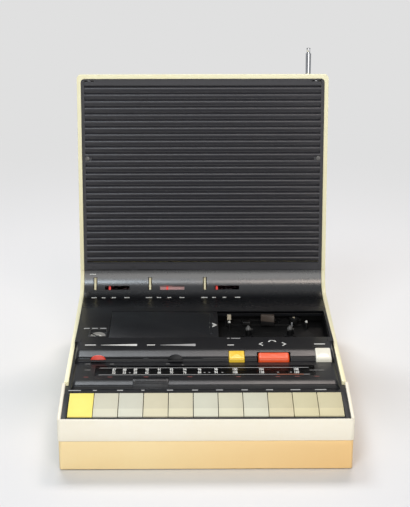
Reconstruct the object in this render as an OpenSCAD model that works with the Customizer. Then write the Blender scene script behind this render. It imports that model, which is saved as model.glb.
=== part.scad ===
// Radio cassette player: a wedge shaped desk unit with an upright speaker panel at its back.
// Lengths are in millimetres and angles in degrees. X runs to the right, Y to the back and Z up.
// Every module draws from the front face (Y = 0) backwards, and place() centres the result.

/* [Body] */
// Width of the cream shells
body_w = 264; // [262:1:276]
// Depth from the front face to the back wall
body_d = 362; // [358:1:390]
// Wall thickness of the cream shells
wall = 4; // [3:0.5:4.5]
// Gap between parts that are fixed beside each other
fit = 0.3; // [0.2:0.05:0.4]
// Gap around a shaft or pin, on the radius
run = 0.05; // [0.03:0.01:0.1]
// Gap between parts that slide past each other
slip = 0.3; // [0.2:0.05:0.4]

/* [Tray and front frame] */
// Height that the rubber feet lift the tray
foot_proud = 1; // [0.5:0.5:2]
// Diameter of a rubber foot
foot_d = 16; // [10:1:20]
// Height of the tray's top edge above the table
tray_z = 28.5; // [26:0.5:31]
// Thickness of the tray's floor
floor_t = 3; // [2:0.5:4]
// Slope of the tray's outer walls
draft = 1.2; // [0.5:0.1:2]
// How far the tray stands back from the white frame
tray_inset = 0.8; // [0.4:0.1:1.2]
// Height of the white frame's front face
frame_h = 20.8; // [19:0.2:23]
// Thickness of the white frame's front wall
frame_t = 2; // [1.5:0.5:4]
// Thickness of the white frame's side wings
wing_t = 3.4; // [3:0.2:5]
// How far the white frame stands outside the cream shell
frame_proud = 2; // [1:0.5:3]
// Length of the white frame's side wings
wing_len = 66; // [62:1:70]
// Radius of the frame's and the tray's upright corners
corner_r = 4; // [2:0.5:6]

/* [Keys] */
// Slope of the key row
key_tilt = 9.2; // [8:0.2:10]
// Gap between the bezel's front wall and the keys
key_front_gap = 4; // [1:0.5:5]
// Length of a key along the slope
key_len = 39; // [36:1:43]
// Gap between two keys
key_gap = 0.7; // [0.5:0.1:1]
// Thickness of a key
key_t = 7; // [6:0.5:8]
// Share of the key's length that is bevelled, at its front
bevel_share = 0.3; // [0.2:0.02:0.4]
// Drop of the front bevel
bevel_drop = 1.2; // [0.6:0.2:1.8]
// Width of the dark bezel at each end of the key row
bezel_side = 2.6; // [2:0.2:4.4]
// Diameter of the pivot rod
key_rod_d = 3; // [2.5:0.5:4]
// Angle that a key turns when it is pressed
key_press = 5; // [3:0.5:5]

/* [Deck] */
// Thickness of the dark panels
deck_t = 2.5; // [2:0.25:3]
// Length of the label strip behind the keys
strip_len = 9.4; // [8:0.2:11]
// Length of the sloped step from the strip to the dial
step_run = 8; // [6:0.5:10]
// Height of that step
step_h = 5.5; // [4.5:0.5:6.5]
// Length of the dial level, step included
dial_len = 58; // [56:1:62]
// Length of the sloped step from the dial to the deck
nose_run = 13; // [11:0.5:15]
// Height of that step
nose_h = 7.5; // [6.5:0.5:8.5]
// Length of the deck from that step's foot to the cassette well
deck_front = 49; // [47:1:53]
// Width that the steps stand back from the shell at each end
nose_inset = 2.2; // [2:0.1:3]
// Depth of the cassette well, front to back
well_d = 81; // [79:1:86]
// Width of the cassette well
well_w = 110; // [108:1:113]
// Distance of the well from the shell's inner face
well_side = 3.4; // [3:0.2:4]
// Height of the well's walls above its floor
well_h = 13; // [12.5:0.5:15]
// Length of the deck behind the well
deck_rear = 14; // [13:0.5:18]
// Length of the flat part of the rear fascia
fascia_flat = 25.6; // [24:0.2:32]
// Radius of the hollow curve up to the speaker panel
scoop_r = 26; // [25:0.5:30]
// Depth of the casing behind the corner of that curve
rear_d = 53.65; // [50:0.05:60]
// How far the cream rim stands above the dark panels
rim_lip = 0.8; // [0.4:0.2:1.6]

/* [Speaker panel] */
// Backward lean of the speaker panel
lean = 3; // [1:0.5:5]
// Height of the speaker panel along its slope
panel_h = 211; // [205:1:225]
// Depth of the upper shell
upper_d = 30; // [29:0.5:32]
// Inward slope of the upper shell, as a length over its depth
upper_taper = 8; // [6:0.5:9]
// Thickness of the louvred grille
grille_t = 4; // [3:0.5:5]
// Number of louvre slots
slot_count = 28; // [24:1:28]
// Spacing of the louvre slots
slot_pitch = 7.05; // [6.6:0.05:7.1]
// Height of a louvre slot
slot_h = 2.3; // [2:0.1:3.5]
// Diameter of a loudspeaker
speaker_d = 100; // [90:2:116]
// Gap between the two loudspeakers
speaker_gap = 4; // [2:0.5:12]

/* [Controls] */
// Radius of a preset wheel
wheel_r = 16; // [14:0.5:17]
// Thickness of a preset wheel
wheel_t = 2.2; // [2:0.2:4]
// Gap between a preset wheel and each side of its slot
wheel_clear = 0.9; // [0.3:0.1:1.2]
// How far a preset wheel stands out of its slot
wheel_proud = 1.2; // [1:0.2:3]
// Distance of the first preset wheel from the panel's end
wheel_side = 11.7; // [11:0.1:16]
// Spacing of the preset wheels
wheel_pitch = 59; // [57:0.5:62]
// Width of a preset window
window_w = 26.5; // [22:0.5:28]
// Angle that a preset window covers on the curve
window_span = 11; // [9:0.5:12]
// Diameter of the tuning roller
roller_d = 15; // [13:0.5:16]
// Length of the tuning roller
roller_len = 33; // [28:1:36]
// Distance of the tuning roller's middle from the panel's end
roller_side = 76.7; // [72:0.1:82]
// Length of the dial window
dial_w = 208; // [190:1:212]
// Depth of the dial window, front to back
dial_d = 26; // [24:0.5:28]
// Travel of a volume or tone slider
slider_travel = 36; // [30:1:37]
// Width of a slider knob
slider_w = 14.5; // [12:0.5:17]
// Width of the record and stop buttons
button_w = 15.2; // [12:0.2:16]
// Width of the transport rocker
rocker_w = 30; // [24:0.2:32]
// Press of the record and stop buttons
button_press = 2.5; // [1.5:0.25:3]

/* [Cassette drive] */
// Distance of the reel spindles from the well's back edge
reel_back = 36.5; // [36:0.5:40]
// Thickness of the lid
lid_t = 2.4; // [2:0.2:3]
// Thickness of the mechanism plate
plate_t = 1.6; // [1.2:0.2:2]
// Diameter of the flywheel
flywheel_d = 46; // [40:1:48]
// Diameter of the capstan shaft
capstan_d = 2.6; // [2:0.2:3]
// Travel of the head carriage
head_travel = 5; // [4:0.5:5.5]
// Diameter of the motor can
motor_d = 32; // [28:1:34]
// Diameter of the pinch roller
pinch_d = 10; // [8:0.5:11]

/* [Aerial] */
// Diameter of the aerial's outer tube
aerial_d = 6; // [5:0.5:6]
// Length of the aerial's outer tube
aerial_len = 214; // [200:1:230]
// Distance of the aerial from the shell's side
aerial_side = 19; // [15:0.5:24]

/* [Hidden] */
$fn = 64;
// Overlap that makes a cut run clean through a face
cut = 1;
// Keys in the row, and the spacing of the reels in a compact cassette
key_count = 11;
reel_pitch = 42.5;

// Places along the unit, from its front face backwards. The two flats before and behind the cassette
// well share what the unit is deeper, or less deep, than its panels add up to.
scoop_t = scoop_r * tan((90 - lean) / 2);
bezel_t = 1.2;
key_s0 = frame_t + fit + bezel_t + key_front_gap;
strip_s0 = key_s0 + key_len * cos(key_tilt) + key_gap;
step_s0 = strip_s0 + strip_len;
nose_s0 = step_s0 + dial_len;
panels_d = nose_s0 + deck_front + well_d + deck_rear + fascia_flat + scoop_t + rear_d;
spare_d = body_d - panels_d;
well_s0 = nose_s0 + deck_front + spare_d / 2;
well_s1 = well_s0 + well_d;
fascia_s0 = well_s1 + deck_rear;
scoop_s0 = fascia_s0 + fascia_flat + spare_d / 2;
corner_s = scoop_s0 + scoop_t;
split_s = corner_s + scoop_t * sin(lean);

// Levels above the table
frame_z = tray_z + frame_h;
strip_z = frame_z + strip_s0 * tan(key_tilt);
dial_z = strip_z + step_h;
deck_z = dial_z + nose_h;
split_z = deck_z + scoop_t * cos(lean);
rim_z0 = frame_z + wing_len * tan(key_tilt);
rim_slope = (deck_z + rim_lip - rim_z0) / (fascia_s0 - wing_len);

// Widths
frame_w = body_w + 2 * frame_proud;
wing_half = frame_w / 2 - wing_t;
inner_w = body_w - 2 * wall;
panel_w = inner_w - 2 * fit;
nose_w = panel_w - 2 * nose_inset;
key_pitch = (panel_w - 2 * bezel_side + key_gap) / key_count;
wheel_x = -panel_w / 2 + wheel_side;
roller_x = -panel_w / 2 + roller_side;

// Parts of the deck
channel_depth = lid_t + 0.6;
lip_t = 1;
lip_w = 1.6;
channel_z = deck_z - channel_depth;
well_x1 = inner_w / 2 - well_side;
well_x0 = well_x1 - well_w;
well_xm = (well_x0 + well_x1) / 2;
drive_x = well_xm - 2.9;
floor_z = channel_z - well_h;
lid_x0 = well_x0 - well_w;
reel_s = well_s1 - reel_back;
capstan_x = drive_x + 24.8;
capstan_s = well_s1 - 12.5;

// Pivot of the keys, in the sloped frame of the key row
rod_along = key_s0 / cos(key_tilt) + key_len + 5.5;
rod_down = key_t + 1;
rod_s = rod_along * cos(key_tilt) + rod_down * sin(key_tilt);
rod_z = frame_z + rod_along * sin(key_tilt) - rod_down * cos(key_tilt);

// Curve of the rear fascia and the wheels behind it
scoop_o = [scoop_s0, deck_z + scoop_r];
wheel_angle = -36;
wheel_slot_half = 21;
window_angle = -46;
wheel_out = scoop_r + wheel_r - wheel_proud;
wheel_c = scoop_o + wheel_out * [cos(wheel_angle), sin(wheel_angle)];
axle_d = 3;
ear_t = 2;
window_x = 10.5;
pointer_w = 2;
box_t = 1.6;
lens_t = 1.5;
pointer_in = scoop_r + lens_t + 2 * fit;
pointer_out = pointer_in + 4;

// Aerial
aerial_x = body_w / 2 - aerial_side;
aerial_s = body_d - wall - 3.5;
turret_h = 5;
knuckle_z = split_z + turret_h + 4.4;

// Colours
cream = "#faf5cd";
white = "#f7f0de";
tan_yellow = "#f0d699";
black = "#232326";
steel = "#b9bcc0";

// Helpers

module place() { translate([0, -body_d / 2, 0]) children(); }

// The slope of the key row: X across, Y up the slope from the front edge, Z square to it
module on_keys() { translate([0, 0, frame_z]) rotate([key_tilt, 0, 0]) children(); }

// The speaker panel: X across, Y into the panel from its front face, Z up the panel
module on_panel() { translate([0, corner_s, deck_z]) rotate([-lean, 0, 0]) children(); }

// A side view outline, points of [distance from the front, height], carried from x0 to x1
module prism_x(x0, x1, points) {
    translate([x0, 0, 0]) rotate([90, 0, 90]) linear_extrude(x1 - x0) polygon(points);
}

// A front view outline, points of [x, height], carried from y0 to y1
module prism_y(y0, y1, points) {
    translate([0, y1, 0]) rotate([90, 0, 0]) linear_extrude(y1 - y0) polygon(points);
}

// A box from its lowest corner to its highest
module block(low, high) { translate(low) cube(high - low); }

// A rod along X from x0 to x1
module rod_x(x0, x1, s, z, d) { translate([x0, s, z]) rotate([0, 90, 0]) cylinder(d = d, h = x1 - x0); }

// A rod along Y from s0 to s1
module rod_y(s0, s1, x, z, d) { translate([x, s1, z]) rotate([90, 0, 0]) cylinder(d = d, h = s1 - s0); }

function unit(v) = v / norm(v);

// Points that round the corner b of the path a, b, c with radius r
function fillet(a, b, c, r, n = 8) =
    let (u = unit(a - b), w = unit(c - b), half = acos(u * w) / 2, sweep = 180 - 2 * half,
         o = b + unit(u + w) * r / sin(half),
         e0 = unit(b + u * r / tan(half) - o), e1 = unit(b + w * r / tan(half) - o))
    [for (i = [0:n]) o + r * (sin(sweep * (1 - i / n)) * e0 + sin(sweep * i / n) * e1) / sin(sweep)];

// A closed outline with every corner rounded by r
function rounded(p, r) =
    [for (i = [0:len(p) - 1])
        each fillet(p[(i + len(p) - 1) % len(p)], p[i], p[(i + 1) % len(p)], r, 6)];

function box_points(x0, x1, y0, y1) = [[x0, y0], [x1, y0], [x1, y1], [x0, y1]];

function arc(o, r, a0, a1, n) =
    [for (i = [0:n]) o + r * [cos(a0 + (a1 - a0) * i / n), sin(a0 + (a1 - a0) * i / n)]];

function reverse(p) = [for (i = [len(p) - 1:-1:0]) p[i]];

// A slice of the fascia's curve between two radii, to each side of an angle
function scoop_slice(r0, r1, angle, half) =
    concat(arc(scoop_o, r0, angle - half, angle + half, 6),
           arc(scoop_o, r1, angle + half, angle - half, 6));

function lowered(p, d) = [for (q = p) q - [0, d]];

// Height of the cream rim at a distance from the front
function rim_at(s) = rim_z0 + (s - wing_len) * rim_slope;

// Casing

tray_wall = wall + 1;
tray_half = frame_w / 2 - tray_inset;
post_d = 10;
post_in = post_d / 2 + 2;
screw_places = [for (x = [-1, 1], s = [wing_len + 16, body_d - 16]) [x * (inner_w / 2 - post_in), s]];
screw_d = 3;
screw_head_d = 6;

module tray_form(inset, z0, z1) {
    side = (tray_z - z0) * tan(draft);
    top = tray_half - inset;
    intersection() {
        prism_y(-cut, body_d + cut, [[-top + side, z0], [top - side, z0], [top, z1], [-top, z1]]);
        prism_x(-frame_w, frame_w,
            [[tray_inset + inset + side, z0], [body_d - tray_inset - inset - side, z0],
             [body_d - tray_inset - inset, z1], [tray_inset + inset, z1]]);
        translate([0, 0, z0]) linear_extrude(z1 - z0)
            polygon(rounded(box_points(-top, top, tray_inset + inset, body_d - tray_inset - inset),
                            corner_r));
    }
}

board_s0 = well_s0 - 40;
board_s1 = well_s0 + 50;
board_w = inner_w - 36;
board_z = 12;
board_t = 1.6;
board_posts = [for (x = [-1, 1], s = [board_s0 + 6, board_s1 - 6]) [x * (board_w / 2 - 6), s]];
foot_places = [for (x = [-1, 1], s = [26, body_d - 26]) [x * (frame_w / 2 - 24), s]];
foot_sunk = 1.5;

module bottom_tray() {
    color(tan_yellow) place() {
        difference() {
            tray_form(0, foot_proud, tray_z);
            tray_form(tray_wall, foot_proud + floor_t, tray_z + cut);
            for (p = foot_places)
                translate([p.x, p.y, foot_proud - cut]) cylinder(d = foot_d + 2 * fit, h = foot_sunk + cut);
            for (p = screw_places) translate([p.x, p.y, foot_proud - cut]) {
                cylinder(d = screw_d + 2 * fit, h = floor_t + 2 * cut);
                cylinder(d = screw_head_d + 2 * fit, h = cut + floor_t / 2);
            }
        }
        for (p = board_posts)
            translate([p.x, p.y, foot_proud + floor_t - 0.5])
                cylinder(d = 7, h = board_z - foot_proud - floor_t + 0.5);
    }
}

module feet() {
    color("#2b2a28") place() for (p = foot_places)
        translate([p.x, p.y, 0]) cylinder(d = foot_d, h = foot_proud + foot_sunk);
}

module screws() {
    color(steel) place() {
        for (p = screw_places) translate([p.x, p.y, foot_proud + floor_t / 2]) {
            translate([0, 0, -1.2]) cylinder(d = screw_head_d, h = 1.2);
            cylinder(d = screw_d, h = tray_z - foot_proud - floor_t / 2);
        }
        on_panel() for (x = grille_screw_x) {
            rod_y(-0.6, 0.6, x, grille_screw_z, grille_screw_head);
            rod_y(0.6, grille_t + 8, x, grille_screw_z, screw_d);
        }
    }
}

module front_frame() {
    half = frame_w / 2;
    top = [[0, tray_z], [wing_len, tray_z], [wing_len, rim_z0], [0, frame_z]];
    color(white) place() difference() {
        intersection() {
            prism_x(-half, half, top);
            translate([0, 0, tray_z - cut]) linear_extrude(2 * frame_z)
                polygon(concat([[half, wing_len], [-half, wing_len]],
                    fillet([-half, wing_len], [-half, 0], [half, 0], corner_r),
                    fillet([-half, 0], [half, 0], [half, wing_len], corner_r)));
        }
        block([-wing_half, frame_t, tray_z - cut], [wing_half, wing_len + cut, 2 * frame_z]);
    }
}

rim_corner = [corner_s - rim_lip, rim_at(corner_s - rim_lip)];
rim_top = [split_s - rim_lip, split_z];
rim_turn = 90 - lean - atan(rim_slope);
rim_r = (norm(rim_top - rim_corner) - fit) / tan(rim_turn / 2);
shell_plate_t = 2.7;
post_rise = 14;
inlet_side = 48;
inlet_x = -inner_w / 2 + inlet_side;
inlet_z = 48;
inlet_size = [28, 22];
turret_pin_d = 4;

module main_shell() {
    s0 = wing_len + fit;
    outline = concat([[s0, tray_z], [body_d, tray_z], [body_d, split_z], rim_top],
        fillet(rim_top, rim_corner, [s0, rim_at(s0)], rim_r), [[s0, rim_at(s0)]]);
    plate_s0 = split_s + deck_t + 2 * fit;
    plate_z = split_z - shell_plate_t;
    inside = [[s0 - cut, tray_z - cut], [body_d - wall, tray_z - cut], [body_d - wall, plate_z],
        [plate_s0, plate_z], [plate_s0, split_z + cut], [s0 - cut, split_z + cut]];
    color(cream) place() difference() {
        union() {
            difference() {
                prism_x(-body_w / 2, body_w / 2, outline);
                prism_x(-inner_w / 2, inner_w / 2, inside);
            }
            for (p = screw_places) translate([p.x, p.y, 0]) {
                translate([0, 0, foot_proud + floor_t])
                    cylinder(d = post_d, h = tray_z + post_rise - foot_proud - floor_t);
                block([p.x > 0 ? 0 : -post_in - cut, -2, tray_z + fit],
                      [p.x > 0 ? post_in + cut : 0, 2, tray_z + post_rise]);
            }
        }
        for (p = screw_places) translate([p.x, p.y, foot_proud + floor_t - cut])
            cylinder(d = screw_d + 2 * run, h = tray_z - foot_proud);
        block([inlet_x - inlet_size.x / 2, body_d - wall - cut, inlet_z - inlet_size.y / 2],
              [inlet_x + inlet_size.x / 2, body_d + cut, inlet_z + inlet_size.y / 2]);
        translate([aerial_x, aerial_s, split_z - shell_plate_t - cut])
            cylinder(d = turret_pin_d + 2 * run, h = shell_plate_t + 2 * cut);
        block([-15, plate_s0 + 6, split_z - shell_plate_t - cut], [15, plate_s0 + 18, split_z + cut]);
    }
}

module mains_inlet() {
    x = inlet_size.x / 2 - fit;
    z = inlet_size.y / 2 - fit;
    color("#1c1c1e") place() difference() {
        union() {
            block([inlet_x - x, body_d - wall - 14, inlet_z - z], [inlet_x + x, body_d - 0.4, inlet_z + z]);
            block([inlet_x - x - 3, body_d - wall - 3 - fit, inlet_z - z - 3],
                  [inlet_x + x + 3, body_d - wall - fit, inlet_z + z + 3]);
        }
        prism_y(body_d - wall - 10, body_d + cut,
            rounded(box_points(inlet_x - x + 3, inlet_x + x - 3, inlet_z - z + 4, inlet_z + z - 4), 4));
    }
}

shell_front = -1.5;
grille_z0 = scoop_t + fit;
grille_z1 = scoop_t + panel_h - wall - fit;
grille_top_margin = 6.9;
mic_drop = 2.8;
mic_len = 10;
slot_half = panel_w / 2 - 3.2;
short_slot = 11;
short_slot_cut = 6.5;
grille_screw_x = [-slot_half + 2, slot_half - 2];
grille_screw_z = grille_z1 - grille_top_margin - short_slot * slot_pitch;
grille_screw_head = 5;
notch_x = [-panel_w / 2 + 10.2, -panel_w / 2 + 52.7];
notch_d = 6;

// The upper shell's outer form, or its inside when every wall is moved in
module upper_form(inset, y0, y1) {
    half = body_w / 2 - inset;
    top = scoop_t + panel_h - inset;
    y_flat = grille_t + 1;
    slope = upper_taper / (upper_d - y_flat);
    side = slope * (y1 - y_flat);
    intersection() {
        translate([0, 0, -cut]) linear_extrude(top + 2 * cut)
            polygon([[-half, y0], [half, y0], [half, y_flat], [half - side, y1], [-half + side, y1],
                     [-half, y_flat]]);
        prism_x(-half, half, [[y0, -cut], [y1, -cut], [y1, top - side], [y_flat, top], [y0, top]]);
        prism_y(y0, y1, concat([[-half, -cut], [half, -cut]],
            fillet([half, -cut], [half, top], [-half, top], corner_r),
            fillet([half, top], [-half, top], [-half, -cut], corner_r)));
    }
}

module speaker_shell() {
    back = upper_d - wall;
    color(cream) place() difference() {
        on_panel() difference() {
            union() {
                difference() {
                    upper_form(0, shell_front, upper_d);
                    upper_form(wall, shell_front - cut, back);
                }
                for (x = grille_screw_x) rod_y(grille_t + fit, back + cut, x, grille_screw_z, post_d - 2);
            }
            for (x = grille_screw_x) rod_y(grille_t, back - 2, x, grille_screw_z, screw_d + 2 * run);
        }
        block([-body_w, 0, -cut], [body_w, 2 * body_d, split_z + fit]);
    }
}

module speaker_grille() {
    half = panel_w / 2;
    mic_h = 1.2;
    tilt = 18;
    color(black) place() difference() {
        on_panel() difference() {
            prism_y(0, grille_t, concat([[-half, 0], [half, 0]],
                fillet([half, 0], [half, grille_z1], [-half, grille_z1], corner_r),
                fillet([half, grille_z1], [-half, grille_z1], [-half, 0], corner_r)));
            for (x = notch_x) rod_y(-cut, grille_t + cut, x, grille_z0 + 1.5, notch_d);
            for (i = [0:slot_count - 1]) {
                w = i == short_slot ? slot_half - short_slot_cut : slot_half;
                translate([0, grille_t / 2, grille_z1 - grille_top_margin - i * slot_pitch])
                    rotate([tilt, 0, 0]) cube([2 * w, 3 * grille_t, slot_h], center = true);
            }
            for (x = [-slot_half, slot_half - mic_len])
                block([x, -cut, grille_z1 - mic_drop],
                      [x + mic_len, grille_t + cut, grille_z1 - mic_drop + mic_h]);
            for (x = grille_screw_x) rod_y(-cut, grille_t + cut, x, grille_screw_z, screw_d + 2 * fit);
            for (x = grille_screw_x) rod_y(-cut, 0.6, x, grille_screw_z, grille_screw_head + 2 * fit);
        }
        block([-body_w, 0, -cut], [body_w, 2 * body_d, split_z + fit]);
    }
}

speaker_z = (grille_z0 + grille_z1) / 2;

module each_speaker() {
    on_panel() for (x = [-1, 1]) translate([x * (speaker_d + speaker_gap) / 2, grille_t, speaker_z])
        rotate([-90, 0, 0]) children();
}

basket_t = 1.2;
magnet_d = 52;
basket_deep = 13;
basket_in = basket_deep - basket_t;
speaker_deep = upper_d - wall - grille_t - 1.5;

module speaker_frames() {
    r = speaker_d / 2;
    m = magnet_d / 2;
    color("#3a3b3e") place() each_speaker() rotate_extrude()
        polygon([[r - 5, 0], [r, 0], [r, 1.6], [r - 5 - basket_t, 1.6], [m, basket_deep],
                 [m, speaker_deep], [0, speaker_deep], [0, basket_in], [m - 2, basket_in],
                 [r - 5, 1.6 - basket_t]]);
}

module speaker_cones() {
    r = speaker_d / 2 - 6;
    neck = magnet_d / 2 - 4;
    color("#1d1c1b") place() each_speaker() rotate_extrude()
        polygon([[r, 0.1], [r, 0.7], [neck, basket_in - 2], [10, basket_in - 2], [0, basket_in - 4.8],
                 [0, basket_in - 5.8], [10, basket_in - 3], [neck - 0.4, basket_in - 3]]);
}

module microphones() {
    d = 5;
    color(steel) place() on_panel() for (x = [-1, 1])
        rod_y(grille_t, grille_t + 6, x * (slot_half - mic_len / 2), grille_z1 - mic_drop - 1.4, d);
}

// Keys

bezel_drop = 0.4;
bezel_floor_t = 2.5;
key_drop = (rod_along - key_s0) * sin(key_press);
bezel_deep = key_t + key_drop + 2.5;
rib_places = [for (i = [4, 7]) (i - key_count / 2) * key_pitch];

// Height of a level that lies d below the slope of the keys
function under_keys(s, d) = frame_z + s * tan(key_tilt) - d / cos(key_tilt);

module key_bezel() {
    half = wing_half - fit;
    s0 = frame_t + fit;
    s1 = strip_s0 + strip_len + cut;
    in0 = s0 + bezel_t;
    in1 = s1 - bezel_t;
    side = panel_w / 2 - bezel_side + key_gap;
    under = bezel_deep + bezel_floor_t;
    low = tray_z + fit;
    color(black) place() difference() {
        union() {
            difference() {
                prism_x(-half, half, [[s0, low], [s1, low], [s1, under_keys(s1, bezel_drop)],
                    [s0, under_keys(s0, bezel_drop)]]);
                prism_x(-side, side, [[in0, under_keys(in0, bezel_deep)],
                    [2 * s1, under_keys(2 * s1, bezel_deep)], [2 * s1, 2 * frame_z], [in0, 2 * frame_z]]);
                prism_x(-side, side, [[in0, 0], [in1, 0], [in1, under_keys(in1, under)],
                    [in0, under_keys(in0, under)]]);
            }
            for (x = rib_places)
                block([x - 1, rod_s - 4, under_keys(rod_s, bezel_deep + cut)], [x + 1, rod_s + 4, rod_z + 3]);
        }
        block([-half - cut, strip_s0 - key_gap, strip_z - margin_drop - deck_t - fit],
              [half + cut, 2 * s1, 2 * frame_z]);
        rod_x(-half - cut, half + cut, rod_s, rod_z, key_rod_d + 2 * run);
    }
}

module key_rod() {
    color(steel) place() rod_x(-panel_w / 2 + 0.2, panel_w / 2 - 0.2, rod_s, rod_z, key_rod_d);
}

key_arm_w = 8;
key_boss_d = 7;
key_boss_w = key_arm_w + 1;

module key(i) {
    w = key_pitch - key_gap;
    x = (i - (key_count + 1) / 2) * key_pitch;
    a0 = key_s0 / cos(key_tilt);
    a1 = a0 + key_len;
    bevel = a0 + key_len * bevel_share;
    boss = key_boss_d / 2;
    color(i == 1 ? "#fef08c" : "#dad6be") place() difference() {
        union() {
            on_keys() difference() {
                prism_x(x - w / 2, x + w / 2,
                    [[a0, -key_t], [a1, -key_t], [a1, 0.3], [bevel, 0.3], [a0, 0.3 - bevel_drop]]);
                block([x - w / 2 + 1.6, a0 + 1.6, -key_t - cut], [x + w / 2 - 1.6, a1 - 4, -key_t + 3.5]);
            }
            on_keys() prism_x(x - key_arm_w / 2, x + key_arm_w / 2,
                [[a1 - 6, -key_t - 1], [rod_along, -rod_down - boss + 1], [rod_along, -rod_down + boss - 1],
                 [a1 - 0.5, -key_t + 3], [a1 - 6, -key_t + 3]]);
            rod_x(x - key_boss_w / 2, x + key_boss_w / 2, rod_s, rod_z, key_boss_d);
        }
        rod_x(x - key_pitch, x + key_pitch, rod_s, rod_z, key_rod_d + 2 * run);
    }
}

// Deck

face_lean = 0.25;
face_t = 1.8;
foot_round = 0.8;
crest_round = 20;
nose_fall = 3.4;
nose_face = nose_h - nose_fall;
step_face = step_h - 1.9;

// Side view of a step from its foot at [s, z]: a steep face f high, a round corner and a sloped top
function step_line(s, z, run, h, f, r) =
    let (a = [s - 3, z], b = [s, z], c = [s + face_lean * f, z + f],
         d = [s + run, z + h], e = [s + run + 9, z + h])
    concat(fillet(a, b, c, foot_round), fillet(b, c, d, r), fillet(c, d, e, crest_round));

deck_path = concat([[strip_s0, strip_z]], step_line(step_s0, strip_z, step_run, step_h, step_face, 2.4),
                   step_line(nose_s0, dial_z, nose_run, nose_h, nose_face, 3.5), [[fascia_s0 - fit, deck_z]]);

// Underside of that side view: lowered, and set back behind the steep faces
function deck_back(p) =
    [for (i = [0:len(p) - 1]) p[i] + [i == 0 || i == len(p) - 1 ? 0 : face_t, -deck_t]];

margin_drop = 1.5;
wide_s0 = well_s0 - 12;
margin_path = [[strip_s0, strip_z - margin_drop], [wide_s0, rim_at(wide_s0) - margin_drop]];
margin_slope = (margin_path[1].y - margin_path[0].y) / (wide_s0 - strip_s0);
wing_s = wing_len - slip;
wing_path = [margin_path[0], margin_path[0] + (wing_s - strip_s0) * [1, margin_slope]];
dial_s0 = step_s0 + step_run + (dial_len - step_run - dial_d) / 2 + 1;
dial_s1 = dial_s0 + dial_d;
dial_ledge = 3;
dial_glass_t = 1.8;
dial_floor_z = dial_z - 9;
channel_s0 = well_s0 - 2;
channel_s1 = well_s1 + 2;
meter_size = [18.6, 22];
meter_side = 12.2;
meter_x0 = -panel_w / 2 + meter_side;
meter_s0 = well_s0 + 3;
meter_deep = 12;
needle_len = 12.4;
// The meter lies level with the deck, or under the lid where the deck leaves no room beside it
meter_z = (meter_x0 + meter_size.x < lid_x0 ? deck_z : channel_z) - 0.1;
button_s0 = nose_s0 - 2.5;
record_s1 = nose_s0 + nose_run - 2;
rocker_s1 = nose_s0 + nose_run - 4.5;
stop_s1 = nose_s0 + nose_run + 4;
button_lip = dial_z + button_press + 0.8;
button_proud = 0.3;
rocker_x = drive_x;
stop_x = nose_w / 2 - deck_t - 2 * slip - button_w / 2;
rocker_axle_z = deck_z - 12;
rocker_gap = 1.3;
slider_s0 = nose_s0 + 2.6;
slider_z = dial_z + 3.2;
slider_h = 1;
slot_s = nose_s0 + face_lean * (slider_z - dial_z);
volume_x = -nose_w / 2 + 22.8;
record_share = 0.656;
tone_x = volume_x + slider_travel + slider_w + 6;
slot_end = 1;
tone_end = tone_x + slider_travel + slider_w / 2 + slot_end;
record_room = rocker_x - rocker_w / 2 - tone_end - button_w;
record_x = tone_end + button_w / 2 + record_share * record_room;
roller_s = step_s0 + step_run;
roller_z = dial_z - roller_d / 2 + 1.4;
roller_half = roller_len / 2 + slip;
lug_t = 2;
rocker_a0 = button_s0 - slip - lug_t;
rocker_a1 = rocker_s1 + slip + lug_t;
rail = [3, 3];
rail_s = dial_s1 + 1.2;
rail_z = dial_z - 7;

// Height of the sloped top that the buttons stand in, at a distance from the front
function nose_at(s) =
    deck_z - max(nose_s0 + nose_run - s, 0) * nose_fall / (nose_run - face_lean * nose_face);

// The steep face of the nose: X across, Y up the face from its foot, Z square to it
module on_nose() { translate([0, nose_s0, dial_z]) rotate([atan(1 / face_lean), 0, 0]) children(); }

// Opening of a button or the rocker, w wide and back to s1
module button_hole(x, w, s1) {
    block([x - w / 2, button_s0 - slip, dial_z - 6], [x + w / 2, s1 + slip, deck_z + cut]);
}

// A bent sheet of the deck between two widths
module deck_sheet(path, x0, x1) {
    prism_x(x0, x1, concat(path, reverse(lowered(path, deck_t))));
}

// Upright ends that close the raised form down to the side margins
module deck_ends(path, x, s1) {
    low = margin_path[0].y - deck_t;
    front = [for (q = path) if (q.x < s1) q];
    for (m = [0, 1]) mirror([m, 0, 0])
        prism_x(x - deck_t, x, concat(front, [[s1, deck_z], [s1, low], [path[0].x, low]]));
}

module slider_slot(x) {
    block([x - slider_w / 2 - slot_end, slider_s0 - 20, slider_z - slip],
          [x + slider_travel + slider_w / 2 + slot_end, slider_s0 + 12, slider_z + slider_h + slip]);
}

// Side walls in which a slider's carrier runs
module slider_track(x) {
    x0 = x - slider_w / 2 - 2;
    x1 = x + slider_travel + slider_w / 2 + 2;
    block([x0, slider_s0 + 4, slider_z - 4], [x1, slider_s0 + 16, slider_z - 2 - slip]);
    block([x0, slider_s0 + 14, slider_z - 4], [x1, slider_s0 + 16, deck_z - deck_t + 0.5]);
}

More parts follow.
